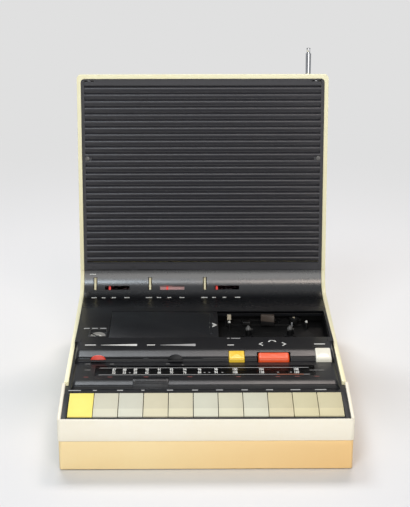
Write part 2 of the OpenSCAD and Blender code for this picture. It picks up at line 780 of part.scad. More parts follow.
module deck_plate() {
    half = panel_w / 2;
    nose = nose_w / 2;
    wide_path = [[wide_s0, deck_z], [fascia_s0 - fit, deck_z]];
    color(black) place() difference() {
        union() {
            difference() {
                union() {
                    prism_x(-nose, nose, concat(deck_path, reverse(deck_back(deck_path))));
                    deck_ends(deck_path, nose, wide_s0 + deck_t);
                    for (m = [0, 1]) mirror([m, 0, 0]) {
                        deck_sheet(margin_path, nose - deck_t, half);
                        deck_sheet(lowered(wing_path, 0.1), half - 0.5, wing_half - fit);
                        prism_x(nose - deck_t, half, [[wide_s0, margin_path[1].y - deck_t],
                            [wide_s0 + deck_t, margin_path[1].y - deck_t], [wide_s0 + deck_t, deck_z],
                            [wide_s0, deck_z]]);
                        prism_x(half - deck_t, half, [[wide_s0, margin_path[1].y - deck_t],
                            [fascia_s0 - fit, deck_z - channel_depth - deck_t], [fascia_s0 - fit, deck_z],
                            [wide_s0, deck_z]]);
                        deck_sheet(wide_path, nose - deck_t, half);
                    }
                    block([-half, channel_s0 - deck_t, channel_z - deck_t],
                          [half, channel_s1 + deck_t, deck_z]);
                    block([well_x0 - deck_t, well_s0 - deck_t, floor_z], [half, well_s0, channel_z]);
                    block([well_x0 - deck_t, well_s0 - deck_t, floor_z], [well_x0, well_s1, channel_z]);
                    block([well_x1, well_s0 - deck_t, floor_z], [half, well_s1, channel_z]);
                    // Trough under the dial window
                    block([-dial_w / 2 - 4, dial_s0 - 4, dial_floor_z],
                          [dial_w / 2 + 4, rail_s + rail.x + 3.5, dial_z - deck_t + 0.5]);
                }
                // Channel in which the lid slides, with a lip along its front and back
                block([lid_x0, channel_s0 + lip_w, channel_z],
                      [half - deck_t, channel_s1 - lip_w, deck_z + cut]);
                block([lid_x0, channel_s0, channel_z], [half - deck_t, channel_s1, deck_z - lip_t]);
                block([well_x0, well_s0, floor_z - cut], [well_x1, well_s1, channel_z + cut]);
                // Dial window and the trough under it
                block([-dial_w / 2 - fit, dial_s0 - fit, dial_z - dial_glass_t],
                      [dial_w / 2 + fit, dial_s1 + fit, dial_z + cut]);
                block([-dial_w / 2 + dial_ledge, dial_s0 + dial_ledge, dial_floor_z + 2],
                      [dial_w / 2 - dial_ledge, dial_s1 - dial_ledge, dial_z]);
                block([-dial_w / 2 + dial_ledge, dial_s0 + dial_ledge, dial_floor_z + 2],
                      [dial_w / 2 - dial_ledge, rail_s + rail.x + 2, dial_z - deck_t]);
                // Meter
                block([meter_x0, meter_s0, channel_z - deck_t - cut],
                      [meter_x0 + meter_size.x, meter_s0 + meter_size.y, deck_z + cut]);
                // Buttons and rocker
                button_hole(record_x, button_w + 2 * slip, record_s1);
                button_hole(stop_x, button_w + 2 * slip, stop_s1);
                button_hole(rocker_x, rocker_w + 2 * rocker_gap, rocker_s1);
                for (x = [volume_x, tone_x]) slider_slot(x);
                // Opening of the tuning roller
                block([roller_x - roller_half, roller_s - roller_d / 2 - slip, strip_z - deck_t - cut],
                      [roller_x + roller_half, roller_s + roller_d / 2 + slip, dial_z + cut]);
            }
            block([-dial_w / 2 + 1, rail_s, rail_z], [dial_w / 2 - 1, rail_s + rail.x, rail_z + rail.y]);
            for (x = [volume_x, tone_x]) slider_track(x);
            block([rocker_x - 5, rocker_a0, rocker_axle_z - 4],
                  [rocker_x + 5, rocker_a0 + lug_t, dial_z - deck_t + 0.5]);
            block([rocker_x - 5, rocker_a1 - lug_t, rocker_axle_z - 4],
                  [rocker_x + 5, rocker_a1, nose_at(rocker_a1 - lug_t) - deck_t / 2]);
            for (x = [roller_x - roller_half - lug_t, roller_x + roller_half])
                block([x, roller_s - 4, roller_z - 4], [x + lug_t, roller_s + 4, dial_z - deck_t + 0.5]);
        }
        rod_y(rocker_a0 + 0.5, rocker_a1 + cut, rocker_x, rocker_axle_z, axle_d + 2 * run);
        rod_x(roller_x - roller_len, roller_x + roller_len, roller_s, roller_z, axle_d + 2 * run);
    }
}

module dial_window() {
    color("#4a4a4e") place()
        block([-dial_w / 2, dial_s0, dial_z - dial_glass_t], [dial_w / 2, dial_s1, dial_z]);
}

module dial_pointer() {
    x = -dial_w / 2 + 12;
    top = dial_z - dial_glass_t - 0.8;
    end = rail_s + rail.x;
    clear = 0.15;
    color("#d8432f") place() difference() {
        union() {
            block([x - 0.7, dial_s0 + dial_ledge + 1, top - 1], [x + 0.7, end + 1.5, top]);
            block([x - 4, rail_s - 1.5, dial_floor_z + 2.3], [x + 4, end + 1.5, top]);
        }
        block([x - 5, rail_s - clear, rail_z - clear], [x + 5, end + clear, rail_z + rail.y + clear]);
    }
}

module cassette_lid() {
    x0 = lid_x0 + slip;
    x1 = well_x0 - slip;
    s0 = channel_s0 + slip;
    s1 = channel_s1 - slip;
    z0 = channel_z + 0.1;
    color("#3a3c40") place() {
        block([x0, s0, z0], [x1, s1, deck_z - lip_t - slip]);
        block([x0, channel_s0 + lip_w + slip, z0], [x1, channel_s1 - lip_w - slip, z0 + lid_t + 0.3]);
        // Finger rib
        block([x1 - 8, channel_s0 + 12, z0 + lid_t], [x1 - 6, channel_s1 - 12, z0 + lid_t + 0.9]);
    }
}

module level_meter() {
    x0 = meter_x0 + fit;
    x1 = meter_x0 + meter_size.x - fit;
    s0 = meter_s0 + fit;
    s1 = meter_s0 + meter_size.y - fit;
    z1 = meter_z;
    color("#cfcabb") place() difference() {
        block([x0, s0, z1 - meter_deep], [x1, s1, z1]);
        block([x0 + 1.2, s0 + 1.2, z1 - 2], [x1 - 1.2, s1 - 1.2, z1 + cut]);
        translate([(x0 + x1) / 2, s0 + 4, z1 - 10]) cylinder(d = 2 + 2 * run, h = 12);
    }
}

module meter_needle() {
    x = meter_x0 + meter_size.x / 2;
    s = meter_s0 + fit + 4;
    z = meter_z;
    color("#c23020") place() {
        translate([x, s, z - 9.8]) cylinder(d = 2, h = 8.3);
        translate([x, s, z - 1.7]) rotate([0, 0, 35]) block([-0.35, 0, 0], [0.35, needle_len, 0.5]);
        translate([x, s, z - 1.7]) cylinder(d = 3.4, h = 1.1);
    }
}

// Buttons, sliders and roller

// The rounded top edge of a button or the rocker, from its back at s1 to its front
function button_crown(s1) =
    let (top = nose_at(s1) + button_proud, back = [s1, top], mid = [button_s0 + 6, top - 0.5],
         lip = [button_s0, button_lip])
    concat([back], fillet(back, mid, lip, 4), [lip]);

// A press button with a stop flange at its back, under the deck
module press_button(x, s1, tint) {
    w = button_w;
    foot_z = dial_z - deck_t - slip - 2;
    flange_z = nose_at(s1) - deck_t - 1;
    color(tint) place() {
        prism_x(x - w / 2, x + w / 2, concat([[button_s0, foot_z], [s1, foot_z]], button_crown(s1)));
        block([x - w / 2 + 0.5, s1 - 3, flange_z - 2], [x + w / 2 - 0.5, s1 + 1.2, flange_z]);
    }
}

module record_button() { press_button(record_x, record_s1, "#fcd93c"); }

module stop_button() { press_button(stop_x, stop_s1, "#f4f1e2"); }

module transport_rocker() {
    w = rocker_w;
    low = dial_z + 0.5;
    color("#f2603c") place() {
        prism_x(rocker_x - w / 2, rocker_x + w / 2,
            concat([[button_s0, low], [rocker_s1, low]], button_crown(rocker_s1)));
        block([rocker_x - 4, button_s0 + 0.3, rocker_axle_z - 3], [rocker_x + 4, rocker_s1 - 0.3, low + 1]);
        rod_y(rocker_a0 + 0.6, rocker_a1 - 0.2, rocker_x, rocker_axle_z, axle_d);
    }
}

// A half round knob before the steep face, with a tongue through the slot to the carrier behind it
module slider(x, tint) {
    top = slider_z + slider_h;
    color(tint) place() {
        on_nose() translate([x, 1.8, slip]) linear_extrude(2)
            polygon([for (a = [0:10:180]) [slider_w / 2 * cos(a), 5.5 * sin(a)]]);
        block([x - 4, slot_s - 1.4, slider_z], [x + 4, slider_s0 + 8, top]);
        block([x - 5, slider_s0 + 7, slider_z - 2], [x + 5, slider_s0 + 14 - slip, top]);
    }
}

module volume_slider() { slider(volume_x, "#c8382e"); }

module tone_slider() { slider(tone_x + slider_travel / 2, "#2c2c30"); }

module tuning_roller() {
    ribs = 24;
    axle = roller_half + lug_t - 0.2;
    color("#1a1a1c") place() difference() {
        union() {
            rod_x(roller_x - roller_len / 2, roller_x + roller_len / 2, roller_s, roller_z, roller_d);
            rod_x(roller_x - axle, roller_x + axle, roller_s, roller_z, axle_d);
        }
        for (i = [0:ribs - 1]) translate([roller_x, roller_s, roller_z]) rotate([i * 360 / ribs, 0, 0])
            translate([0, 0, roller_d / 2]) cube([roller_len - 4, 0.8, 1], center = true);
    }
}

// Rear fascia

module control_fascia() {
    half = panel_w / 2;
    back = scoop_r + deck_t;
    tip = [split_s, split_z - fit];
    sheet = concat([[fascia_s0, deck_z]], arc(scoop_o, scoop_r, -90, -lean - 1, 24), [tip],
        [tip + deck_t * [cos(lean), -sin(lean)]], arc(scoop_o, back, -lean - 1, -90, 24),
        [[fascia_s0, deck_z - deck_t]]);
    ear_r = wheel_out + 4;
    color(black) place() difference() {
        union() {
            prism_x(-half, half, sheet);
            for (i = [0:2]) {
                x = wheel_x + i * wheel_pitch;
                for (m = [-1, 1]) {
                    e = x + m * (wheel_t / 2 + wheel_clear + ear_t / 2);
                    prism_x(e - ear_t / 2, e + ear_t / 2, scoop_slice(back - 0.5, ear_r, wheel_angle, 7));
                }
                prism_x(x + window_x - box_t, x + window_x + window_w + box_t,
                    scoop_slice(back - 0.5, pointer_out + slip + box_t, window_angle, window_span / 2 + 3));
            }
        }
        for (i = [0:2]) {
            x = wheel_x + i * wheel_pitch;
            prism_x(x - wheel_t / 2 - wheel_clear, x + wheel_t / 2 + wheel_clear,
                scoop_slice(scoop_r - cut, back + cut, wheel_angle, wheel_slot_half));
            rod_x(x - 10, x + 10, wheel_c.x, wheel_c.y, axle_d + 2 * run);
            prism_x(x + window_x, x + window_x + window_w,
                scoop_slice(scoop_r - cut, pointer_out + slip, window_angle, window_span / 2));
        }
    }
}

module preset_lenses() {
    half_span = window_span / 2 - 0.6;
    r = scoop_r + fit;
    color("#5a4a4c") place() for (i = [0:2]) {
        x = wheel_x + i * wheel_pitch + window_x;
        prism_x(x + fit, x + window_w - fit, scoop_slice(r, r + lens_t, window_angle, half_span));
    }
}

module preset_wheel(i) {
    x = wheel_x + (i - 1) * wheel_pitch;
    notches = 36;
    axle = wheel_t / 2 + wheel_clear + ear_t - 0.1;
    color("#efe8c8") place() difference() {
        union() {
            rod_x(x - wheel_t / 2, x + wheel_t / 2, wheel_c.x, wheel_c.y, 2 * wheel_r);
            rod_x(x - axle, x + axle, wheel_c.x, wheel_c.y, axle_d);
        }
        for (k = [0:notches - 1]) translate([x, wheel_c.x, wheel_c.y]) rotate([k * 360 / notches, 0, 0])
            translate([0, 0, wheel_r]) cube([wheel_t + cut, 0.7, 0.8], center = true);
    }
}

pointer_starts = [5, 8, 2.5];

module preset_pointer(i) {
    x = wheel_x + (i - 1) * wheel_pitch + window_x + pointer_starts[i - 1];
    color("#d9483a") place()
        prism_x(x - pointer_w / 2, x + pointer_w / 2,
            scoop_slice(pointer_in, pointer_out, window_angle, window_span / 2 - 0.7));
}

// Cassette drive

plate_z0 = floor_z - plate_t;
flywheel_t = 8;
flywheel_z1 = plate_z0 - 2.6;
reel_shaft_d = 5;
pin_d = 3;
pin_x = 40;
stud_d = 3;
stud_x = [-38, 12];
carriage_z = floor_z + 0.2;
carriage_t = 1.6;
carriage_s0 = well_s1 - 3;
carriage_s1 = well_s1 + 11;
stud_s = well_s1 + 5;

module mechanism_plate() {
    x0 = well_x0 - deck_t;
    x1 = panel_w / 2;
    color(steel) place() difference() {
        union() {
            block([x0, well_s0 - deck_t, plate_z0], [x1, fascia_s0 + 4, floor_z]);
            for (m = [-1, 1]) translate([drive_x + m * pin_x, capstan_s, floor_z - 0.5]) {
                cylinder(d = pin_d, h = 8);
                translate([0, 0, 8]) cylinder(d1 = pin_d, d2 = 1.6, h = 2);
            }
            for (x = stud_x) translate([drive_x + x, stud_s, floor_z - 0.5]) cylinder(d = stud_d, h = 3.6);
            for (x = [drive_x - reel_pitch / 2, drive_x + reel_pitch / 2])
                translate([x, reel_s, plate_z0 - 0.6]) cylinder(d = 9, h = plate_t);
        }
        for (x = [drive_x - reel_pitch / 2, drive_x + reel_pitch / 2])
            translate([x, reel_s, plate_z0 - 5]) cylinder(d = reel_shaft_d + 2 * run, h = 12);
        translate([capstan_x, capstan_s, plate_z0 - 5]) cylinder(d = capstan_d + 2 * run, h = 12);
    }
}

module reel_spindle(x) {
    color("#d9d6cc") place() translate([x, reel_s, 0]) {
        translate([0, 0, plate_z0 - 1.5]) cylinder(d = reel_shaft_d, h = plate_t + 2.7);
        translate([0, 0, plate_z0 - 2.2]) cylinder(d = 8, h = 1.4);
        translate([0, 0, floor_z + 0.2]) cylinder(d = 11, h = 2);
        translate([0, 0, floor_z + 0.2]) cylinder(d = 6, h = 9);
        translate([0, 0, floor_z + 9.2]) cylinder(d1 = 6, d2 = 1.6, h = 3.2);
        for (a = [0, 120, 240]) rotate([0, 0, a])
            block([0, -0.6, floor_z + 3], [4.3, 0.6, floor_z + 9]);
    }
}

module reel_spindle_left() { reel_spindle(drive_x - reel_pitch / 2); }

module reel_spindle_right() { reel_spindle(drive_x + reel_pitch / 2); }

module flywheel() {
    color("#9a9da1") place() translate([capstan_x, capstan_s, 0]) difference() {
        union() {
            translate([0, 0, flywheel_z1 - flywheel_t]) {
                cylinder(d = flywheel_d, h = flywheel_t);
                cylinder(d = capstan_d, h = flywheel_t + well_h - 1);
            }
            translate([0, 0, flywheel_z1 - cut]) cylinder(d = 8, h = cut + 2.3);
        }
        translate([0, 0, flywheel_z1 - flywheel_t / 2]) rotate_extrude()
            translate([flywheel_d / 2, 0]) square([2.4, 3.6], center = true);
    }
}

belt_t = 1;
belt_h = 2.4;
belt_gap = 0.3;
belt_z = flywheel_z1 - flywheel_t / 2;
belt_r = flywheel_d / 2 - 1.2 + belt_gap;
motor_x = well_x0 + 22;
motor_s = well_s1 - 20;
motor_h = 26;
motor_z1 = belt_z - 5;
pulley_r = 4;

module motor() {
    color("#8d9094") place() translate([motor_x, motor_s, 0]) difference() {
        union() {
            translate([0, 0, motor_z1 - motor_h]) cylinder(d = motor_d, h = motor_h);
            translate([0, 0, motor_z1 - cut]) cylinder(d = 9, h = cut + 1);
            for (a = [90, 180, 270]) rotate([0, 0, a]) translate([motor_d / 2 - 3, 0, motor_z1 - cut])
                cylinder(d = 4, h = plate_z0 - motor_z1 + cut);
        }
        translate([0, 0, motor_z1 - 8]) cylinder(d = 2 + 2 * run, h = 12);
    }
}

module motor_pulley() {
    color("#c9a24a") place() translate([motor_x, motor_s, 0]) difference() {
        union() {
            translate([0, 0, motor_z1 - 7.5]) cylinder(d = 2, h = 10);
            translate([0, 0, motor_z1 + 1.4]) cylinder(r = pulley_r + 1.2, h = belt_z + 3 - motor_z1 - 1.4);
        }
        translate([0, 0, belt_z]) rotate_extrude()
            translate([pulley_r + 1.2, 0]) square([2.4, 3.2], center = true);
    }
}

// The band round two circles of radius ra at a and rb at b, as their outline
module belt_outline(a, ra, b, rb) {
    d = norm(b - a);
    turn = atan2(b.y - a.y, b.x - a.x);
    off = acos((ra - rb) / d);
    translate(a) circle(r = ra);
    translate(b) circle(r = rb);
    polygon([for (p = [[a, ra, off], [b, rb, off], [b, rb, -off], [a, ra, -off]])
        p[0] + p[1] * [cos(turn + p[2]), sin(turn + p[2])]]);
}

module drive_belt() {
    a = [capstan_x, capstan_s];
    b = [motor_x, motor_s];
    color("#1b1a19") place() translate([0, 0, belt_z - belt_h / 2]) linear_extrude(belt_h) difference() {
        belt_outline(a, belt_r + belt_t, b, pulley_r + belt_gap + belt_t);
        belt_outline(a, belt_r, b, pulley_r + belt_gap);
    }
}

head_s0 = well_s1 - 6;
head_t = 9;
erase_h = 3.4;
carriage_left = 44;
carriage_right = 36;
pinch_x = capstan_x + 3;
pinch_s = capstan_s + pinch_d / 2 + capstan_d / 2 + head_travel + 0.6;

module head_carriage() {
    x0 = drive_x - carriage_left;
    x1 = drive_x + carriage_right;
    color("#77797d") place() difference() {
        union() {
            block([x0, carriage_s0, carriage_z], [x1, carriage_s1, carriage_z + carriage_t]);
            block([x0, carriage_s1 - 1.6, carriage_z], [x1, carriage_s1, carriage_z + 4]);
            translate([pinch_x, pinch_s, carriage_z]) cylinder(d = 2.4, h = 9);
            block([x0 + 2, carriage_s0 + 0.5, carriage_z], [x0 + 6, well_s1 - 0.5, channel_z - 0.6]);
        }
        for (x = stud_x) translate([drive_x + x, stud_s, carriage_z])
            block([-stud_d / 2 - 0.1, -stud_d / 2 - 0.2, -cut],
                  [stud_d / 2 + 0.1, stud_d / 2 + head_travel + 0.2, 3]);
    }
}

module tape_heads() {
    z = carriage_z + carriage_t;
    top = channel_z - deck_t - fit;
    color("#c5c4bd") place() {
        block([drive_x - 7, head_s0, z], [drive_x + 7, head_s0 + head_t, top]);
        block([drive_x - 7, head_s0, z], [drive_x + 7, well_s1 - 0.5, channel_z - 0.4]);
        block([drive_x - 26, head_s0 + 1.5, z], [drive_x - 18, head_s0 + head_t, z + erase_h]);
    }
}

module pinch_roller() {
    color("#262423") place() translate([pinch_x, pinch_s, carriage_z + carriage_t + 0.3]) difference() {
        cylinder(d = pinch_d, h = 6.6);
        translate([0, 0, -cut]) cylinder(d = 2.4 + 2 * run, h = 10);
    }
}

// Aerial

module aerial_turret() {
    color(steel) place() translate([aerial_x, aerial_s, 0]) difference() {
        union() {
            translate([0, 0, split_z + 0.2]) cylinder(d = 9, h = turret_h);
            translate([0, 0, split_z - shell_plate_t - 2]) {
                cylinder(d = turret_pin_d, h = shell_plate_t + 3);
                cylinder(d = turret_pin_d + 2.4, h = 1.6);
            }
            for (m = [-1, 1]) translate([m * 3.1, 0, 0])
                block([-0.9, -2.4, split_z + turret_h - 0.5], [0.9, 2.4, knuckle_z + 2.4]);
        }
        rod_x(-8, 8, 0, knuckle_z, 2 + 2 * run);
    }
}

aerial_z0 = knuckle_z + 4;
blade_t = 3.8;
rod_d = aerial_d - 2;
tip_d = rod_d - 1.6;

module aerial_tube() {
    color(steel) place() translate([aerial_x, aerial_s, 0]) difference() {
        union() {
            translate([0, 0, aerial_z0]) cylinder(d = aerial_d, h = aerial_len);
            block([-blade_t / 2, -2.3, knuckle_z - 2.3], [blade_t / 2, 2.3, aerial_z0 + 1]);
            rod_x(-3.9, 3.9, 0, knuckle_z, 2);
        }
        translate([0, 0, aerial_z0 + 6]) cylinder(d = rod_d + 2 * run, h = aerial_len);
    }
}

module aerial_rod() {
    color("#c9ccd0") place() translate([aerial_x, aerial_s, 0]) difference() {
        translate([0, 0, aerial_z0 + 6.3]) cylinder(d = rod_d, h = aerial_len - 6.3 + 2);
        translate([0, 0, aerial_z0 + 12]) cylinder(d = tip_d + 2 * run, h = aerial_len);
    }
}

module aerial_tip() {
    color("#d4d6d9") place() translate([aerial_x, aerial_s, 0]) {
        translate([0, 0, aerial_z0 + 12.3]) cylinder(d = tip_d, h = aerial_len - 8.5);
        translate([0, 0, aerial_z0 + aerial_len + 2.4]) cylinder(d = rod_d + 0.4, h = 3.4);
    }
}

// Inside

capacitor_d = 12;
capacitor_h = 15;
capacitor_pitch = 26;
chip_size = [18, 8, 7];
chip_pitch = 36;
chip_in = 50;

module main_board() {
    color("#3f6b3a") place() {
        block([-board_w / 2, board_s0, board_z], [board_w / 2, board_s1, board_z + board_t]);
        for (i = [0:3]) translate([-board_w / 2 + 2.5 * capacitor_d + i * capacitor_pitch,
                                   board_s0 + 2 * capacitor_d, board_z])
            cylinder(d = capacitor_d, h = capacitor_h);
        for (i = [0:2]) translate([-board_w / 2 + chip_in + i * chip_pitch, board_s0 + chip_in, board_z])
            cube(chip_size);
    }
}

core_size = [60, 28, 46];
coil_size = [30, 48, 30];
transformer_foot = [72, 28, 2];
transformer_side = 58;
transformer_back = 62;

module power_transformer() {
    z = foot_proud + floor_t;
    color("#6e6458") place()
        translate([-inner_w / 2 + transformer_side, body_d - transformer_back, z + core_size.z / 2]) {
            cube(core_size, center = true);
            cube(coil_size, center = true);
            translate([0, 0, (transformer_foot.z - core_size.z) / 2]) cube(transformer_foot, center = true);
        }
}

bottom_tray();
front_frame();
main_shell();
speaker_shell();
speaker_grille();
control_fascia();
deck_plate();
key_bezel();
key_rod();
dial_window();
preset_lenses();
cassette_lid();
mechanism_plate();
reel_spindle_left();
reel_spindle_right();
flywheel();
motor();
motor_pulley();
drive_belt();
head_carriage();
tape_heads();
pinch_roller();
record_button();
transport_rocker();
stop_button();
volume_slider();
tone_slider();
tuning_roller();
dial_pointer();
level_meter();
meter_needle();
aerial_turret();
aerial_tube();
aerial_rod();
aerial_tip();
speaker_frames();
speaker_cones();
microphones();
main_board();
power_transformer();
mains_inlet();
feet();
screws();
for (i = [1:key_count]) key(i);
for (i = [1:3]) preset_wheel(i);
for (i = [1:3]) preset_pointer(i);
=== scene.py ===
"""Looks of the radio cassette player: dressed CAD frame, louvred grille, stepped deck, controls and print."""
from types import SimpleNamespace

import bpy
import numpy as np
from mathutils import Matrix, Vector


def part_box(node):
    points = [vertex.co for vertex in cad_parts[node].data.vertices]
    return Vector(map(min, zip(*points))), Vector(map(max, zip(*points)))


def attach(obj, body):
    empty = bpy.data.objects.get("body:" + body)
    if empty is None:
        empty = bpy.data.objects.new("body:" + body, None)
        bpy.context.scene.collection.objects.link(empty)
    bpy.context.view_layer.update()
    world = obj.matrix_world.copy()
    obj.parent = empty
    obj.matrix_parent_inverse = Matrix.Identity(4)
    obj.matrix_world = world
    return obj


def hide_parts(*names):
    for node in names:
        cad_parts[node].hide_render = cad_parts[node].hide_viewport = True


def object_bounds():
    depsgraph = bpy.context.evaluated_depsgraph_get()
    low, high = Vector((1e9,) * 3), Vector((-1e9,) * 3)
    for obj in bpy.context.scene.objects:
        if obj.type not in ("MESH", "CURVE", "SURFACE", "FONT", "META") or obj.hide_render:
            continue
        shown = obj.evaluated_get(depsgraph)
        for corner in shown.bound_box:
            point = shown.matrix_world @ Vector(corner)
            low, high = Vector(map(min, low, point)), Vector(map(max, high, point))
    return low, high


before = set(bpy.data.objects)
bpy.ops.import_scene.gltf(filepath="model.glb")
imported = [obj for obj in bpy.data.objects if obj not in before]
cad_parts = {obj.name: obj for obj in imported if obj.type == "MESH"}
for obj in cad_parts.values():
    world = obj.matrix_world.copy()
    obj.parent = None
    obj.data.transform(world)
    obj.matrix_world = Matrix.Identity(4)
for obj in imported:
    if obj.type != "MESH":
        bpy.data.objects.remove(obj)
cad_box = [list(corner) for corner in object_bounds()]

MM = 0.001
HALF_DEPTH = round(-cad_box[0][1] / MM, 2)


# Places in millimetres, most of them from the frame: x to the right, s backwards from the front face, z up

def edges(name):
    """Edges of a CAD node's box to a hundredth, with the middle x of it."""
    low, high = (np.array(corner) / MM + (0, HALF_DEPTH, 0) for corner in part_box(name))
    (x0, s0, z0), (x1, s1, z1) = np.round(low, 2).tolist(), np.round(high, 2).tolist()
    return SimpleNamespace(x0=x0, x1=x1, s0=s0, s1=s1, z0=z0, z1=z1, mid=(x0 + x1) / 2)


SLIP, SHEET = 0.3, 2.5
deck, dial, lid = edges("deck_plate"), edges("dial_window"), edges("cassette_lid")
meter, roller = edges("level_meter"), edges("tuning_roller")
volume, tone = edges("volume_slider"), edges("tone_slider")
wheels = [edges(f"preset_wheel_{i}") for i in (1, 2, 3)]

PANEL_HALF, WING_HALF, NOSE_HALF = edges("control_fascia").x1, deck.x1, 125.5
WING_S = edges("front_frame").s1 - SLIP
DIAL_HALF, DIAL_S0, DIAL_S1, DIAL_Z = dial.x1, dial.s0, dial.s1, dial.z1
STRIP_S, STRIP_Z = deck.s0, DIAL_Z - 5.5
STEP_S, NOSE_S = DIAL_S0 - 21.0, DIAL_S1 + 11.0
DECK_END, DECK_Z = deck.s1, deck.z1
BED_X0, BED_S0, BED_S1, BED_Z = lid.x0 - SLIP, lid.s0 - SLIP, lid.s1 + SLIP, DECK_Z - 3.0
WELL_X0, WELL_S0, WELL_S1, WELL_Z = lid.x1 + SLIP, BED_S0 + 2.0, BED_S1 - 2.0, BED_Z - 13.0
WELL_X1 = 2 * WELL_X0 - BED_X0
BED_X1 = WELL_X1 + 0.6
WIDE_S = WELL_S0 - 12.0
SCOOP_S, SCOOP_R = 283.68, 26.0
FACE_LEAN = 0.25
CORNER_S, LEAN = 308.35, np.radians(3.0)
GRILLE_T, GRILLE_Z0, GRILLE_Z1 = 4.0, 24.97, 231.37
SLOT_HALF, SLOT_W, SLOT_PITCH, SLOT_COUNT, SHORT_SLOT = 124.5, 2.3, 7.05, 28, 11
SLAT_HALF, LOUVRE_TILT = SLOT_HALF + 0.5, np.radians(18)
NOTCH_X, NOTCH_R = (-117.5, -75.0), 3.0


# Shapes

def put(x, s, z):
    """Points of the frame in metres, from x, the distance s behind the front face and the height z."""
    x, s, z = np.broadcast_arrays(np.asarray(x, float), s, z)
    return np.stack([x, s - HALF_DEPTH, z], -1).reshape(-1, 3) * MM


def on_panel(x, y, z):
    """Points of the speaker panel: x across, y into it and z up it, turned back by the panel's lean."""
    x, y, z = np.broadcast_arrays(np.asarray(x, float), y, z)
    cos, sin = np.cos(LEAN), np.sin(LEAN)
    return put(x, CORNER_S + y * cos + z * sin, DECK_Z - y * sin + z * cos)


def on_scoop(x, along, out=0.0):
    """Points of the hollow fascia: along it from the start of its arc, before which it is level.

    The arc has the radius SCOOP_R, and out leads from it towards its centre.
    """
    x, along, out = np.broadcast_arrays(np.asarray(x, float), along, out)
    turn = np.maximum(along, 0) / SCOOP_R
    r = SCOOP_R - out
    return put(x, SCOOP_S + np.minimum(along, 0) + r * np.sin(turn), DECK_Z + SCOOP_R - r * np.cos(turn))


def on_nose(x, t, n):
    """Points at the upper nose's steep face: x across, t up the face from its foot and n square to it."""
    x, t, n = np.broadcast_arrays(np.asarray(x, float), t, n)
    turn = np.arctan(1 / FACE_LEAN)
    return put(x, NOSE_S + t * np.cos(turn) - n * np.sin(turn), DIAL_Z + t * np.sin(turn) + n * np.cos(turn))


def level(z):
    """A height field of x and s with one height."""
    return lambda x, s: np.full(x.shape, z)


def quads(rows, cols, wrap_rows=False, wrap_cols=False):
    """Faces of a grid of points in row order: each joins two neighbours of a row and the two behind them."""
    i = np.arange(rows if wrap_rows else rows - 1)[:, None]
    j = np.arange(cols if wrap_cols else cols - 1)[None, :]
    i1, j1 = (i + 1) % rows, (j + 1) % cols
    return np.stack([i * cols + j, i * cols + j1, i1 * cols + j1, i1 * cols + j], -1).reshape(-1, 4)


def join(*parts):
    """One mesh from several pairs of points and faces, the faces counted on from the points before."""
    points = np.concatenate([p for p, _ in parts])
    starts = np.cumsum([0] + [len(p) for p, _ in parts[:-1]])
    return points, [[int(v) + int(k) for v in face] for (_, faces), k in zip(parts, starts) for face in faces]


def rounded_path(points, radii, steps=8):
    """Points along a bent line whose inner corners are arcs.

    Each arc meets both legs at its radius times the tangent of half the turn, measured from the corner.
    """
    points = np.asarray(points, float)
    out = [points[:1]]
    for a, b, c, r in zip(points[:-2], points[1:-1], points[2:], radii):
        u, w = (a - b) / np.linalg.norm(a - b), (c - b) / np.linalg.norm(c - b)
        half = np.arccos(np.clip(u @ w, -1, 1)) / 2
        middle = b + (u + w) / np.linalg.norm(u + w) * r / np.sin(half)
        e0, e1 = b + u * r / np.tan(half) - middle, b + w * r / np.tan(half) - middle
        sweep = np.pi - 2 * half
        t = np.linspace(0, 1, steps + 1)[:, None]
        out.append(middle + (np.sin(sweep * (1 - t)) * e0 + np.sin(sweep * t) * e1) / np.sin(sweep))
    return np.concatenate(out + [points[-1:]])


def step_line(s, z, run, h, face, r):
    """Side view of a step from its foot at s and z.

    A steep face, a corner of radius r, and a top that slopes up to the height h and ends level.
    """
    corner = (s + FACE_LEAN * face, z + face)
    line = [(s - 3, z), (s, z), corner, (s + run, z + h), (s + run + 9, z + h)]
    return rounded_path(line, [0.8, r, 20.0])[1:-1]


def plate(xs, ss, top, under, holes=(), to_frame=put):
    """Closed sheet between two height fields of x and s.

    Grid cells inside a hole are left out, and a wall joins both fields along every free edge.
    """
    xs, ss = np.unique(np.round(xs, 4)), np.unique(np.round(ss, 4))
    x, s = np.meshgrid(xs, ss)
    n = x.size
    points = np.concatenate([to_frame(x, s, top(x, s)), to_frame(x, s, under(x, s))])
    faces = quads(len(ss), len(xs))
    mx, ms = x.ravel()[faces].mean(1), s.ravel()[faces].mean(1)
    keep = np.ones(len(faces), bool)
    for x0, x1, s0, s1 in holes:
        keep &= ~((mx > x0) & (mx < x1) & (ms > s0) & (ms < s1))
    faces = faces[keep]
    sides = np.concatenate([faces[:, [0, 1]], faces[:, [1, 2]], faces[:, [2, 3]], faces[:, [3, 0]]])
    code = sides.min(1) * n + sides.max(1)
    _, back, count = np.unique(code, return_inverse=True, return_counts=True)
    a, b = sides[count[back] == 1].T
    faces = np.concatenate([faces, faces[:, ::-1] + n, np.stack([b, a, a + n, b + n], 1)])
    used, faces = np.unique(faces, return_inverse=True)
    return points[used], faces.reshape(-1, 4)


def stacked(rings):
    """Closed piece from rings of equal count, one above the other, with a flat face at each end."""
    k, m = len(rings), len(rings[0])
    ends = [list(range(m))[::-1], list(range((k - 1) * m, k * m))]
    return np.concatenate(rings), quads(k, m, wrap_cols=True).tolist() + ends


def ring_bar(profile, x0, x1, to_frame):
    """Closed bar: a closed outline of (depth, height) pairs carried from x0 to x1."""
    depth, height = np.asarray(profile, float).T
    return stacked([to_frame(x, depth, height) for x in (x0, x1)])


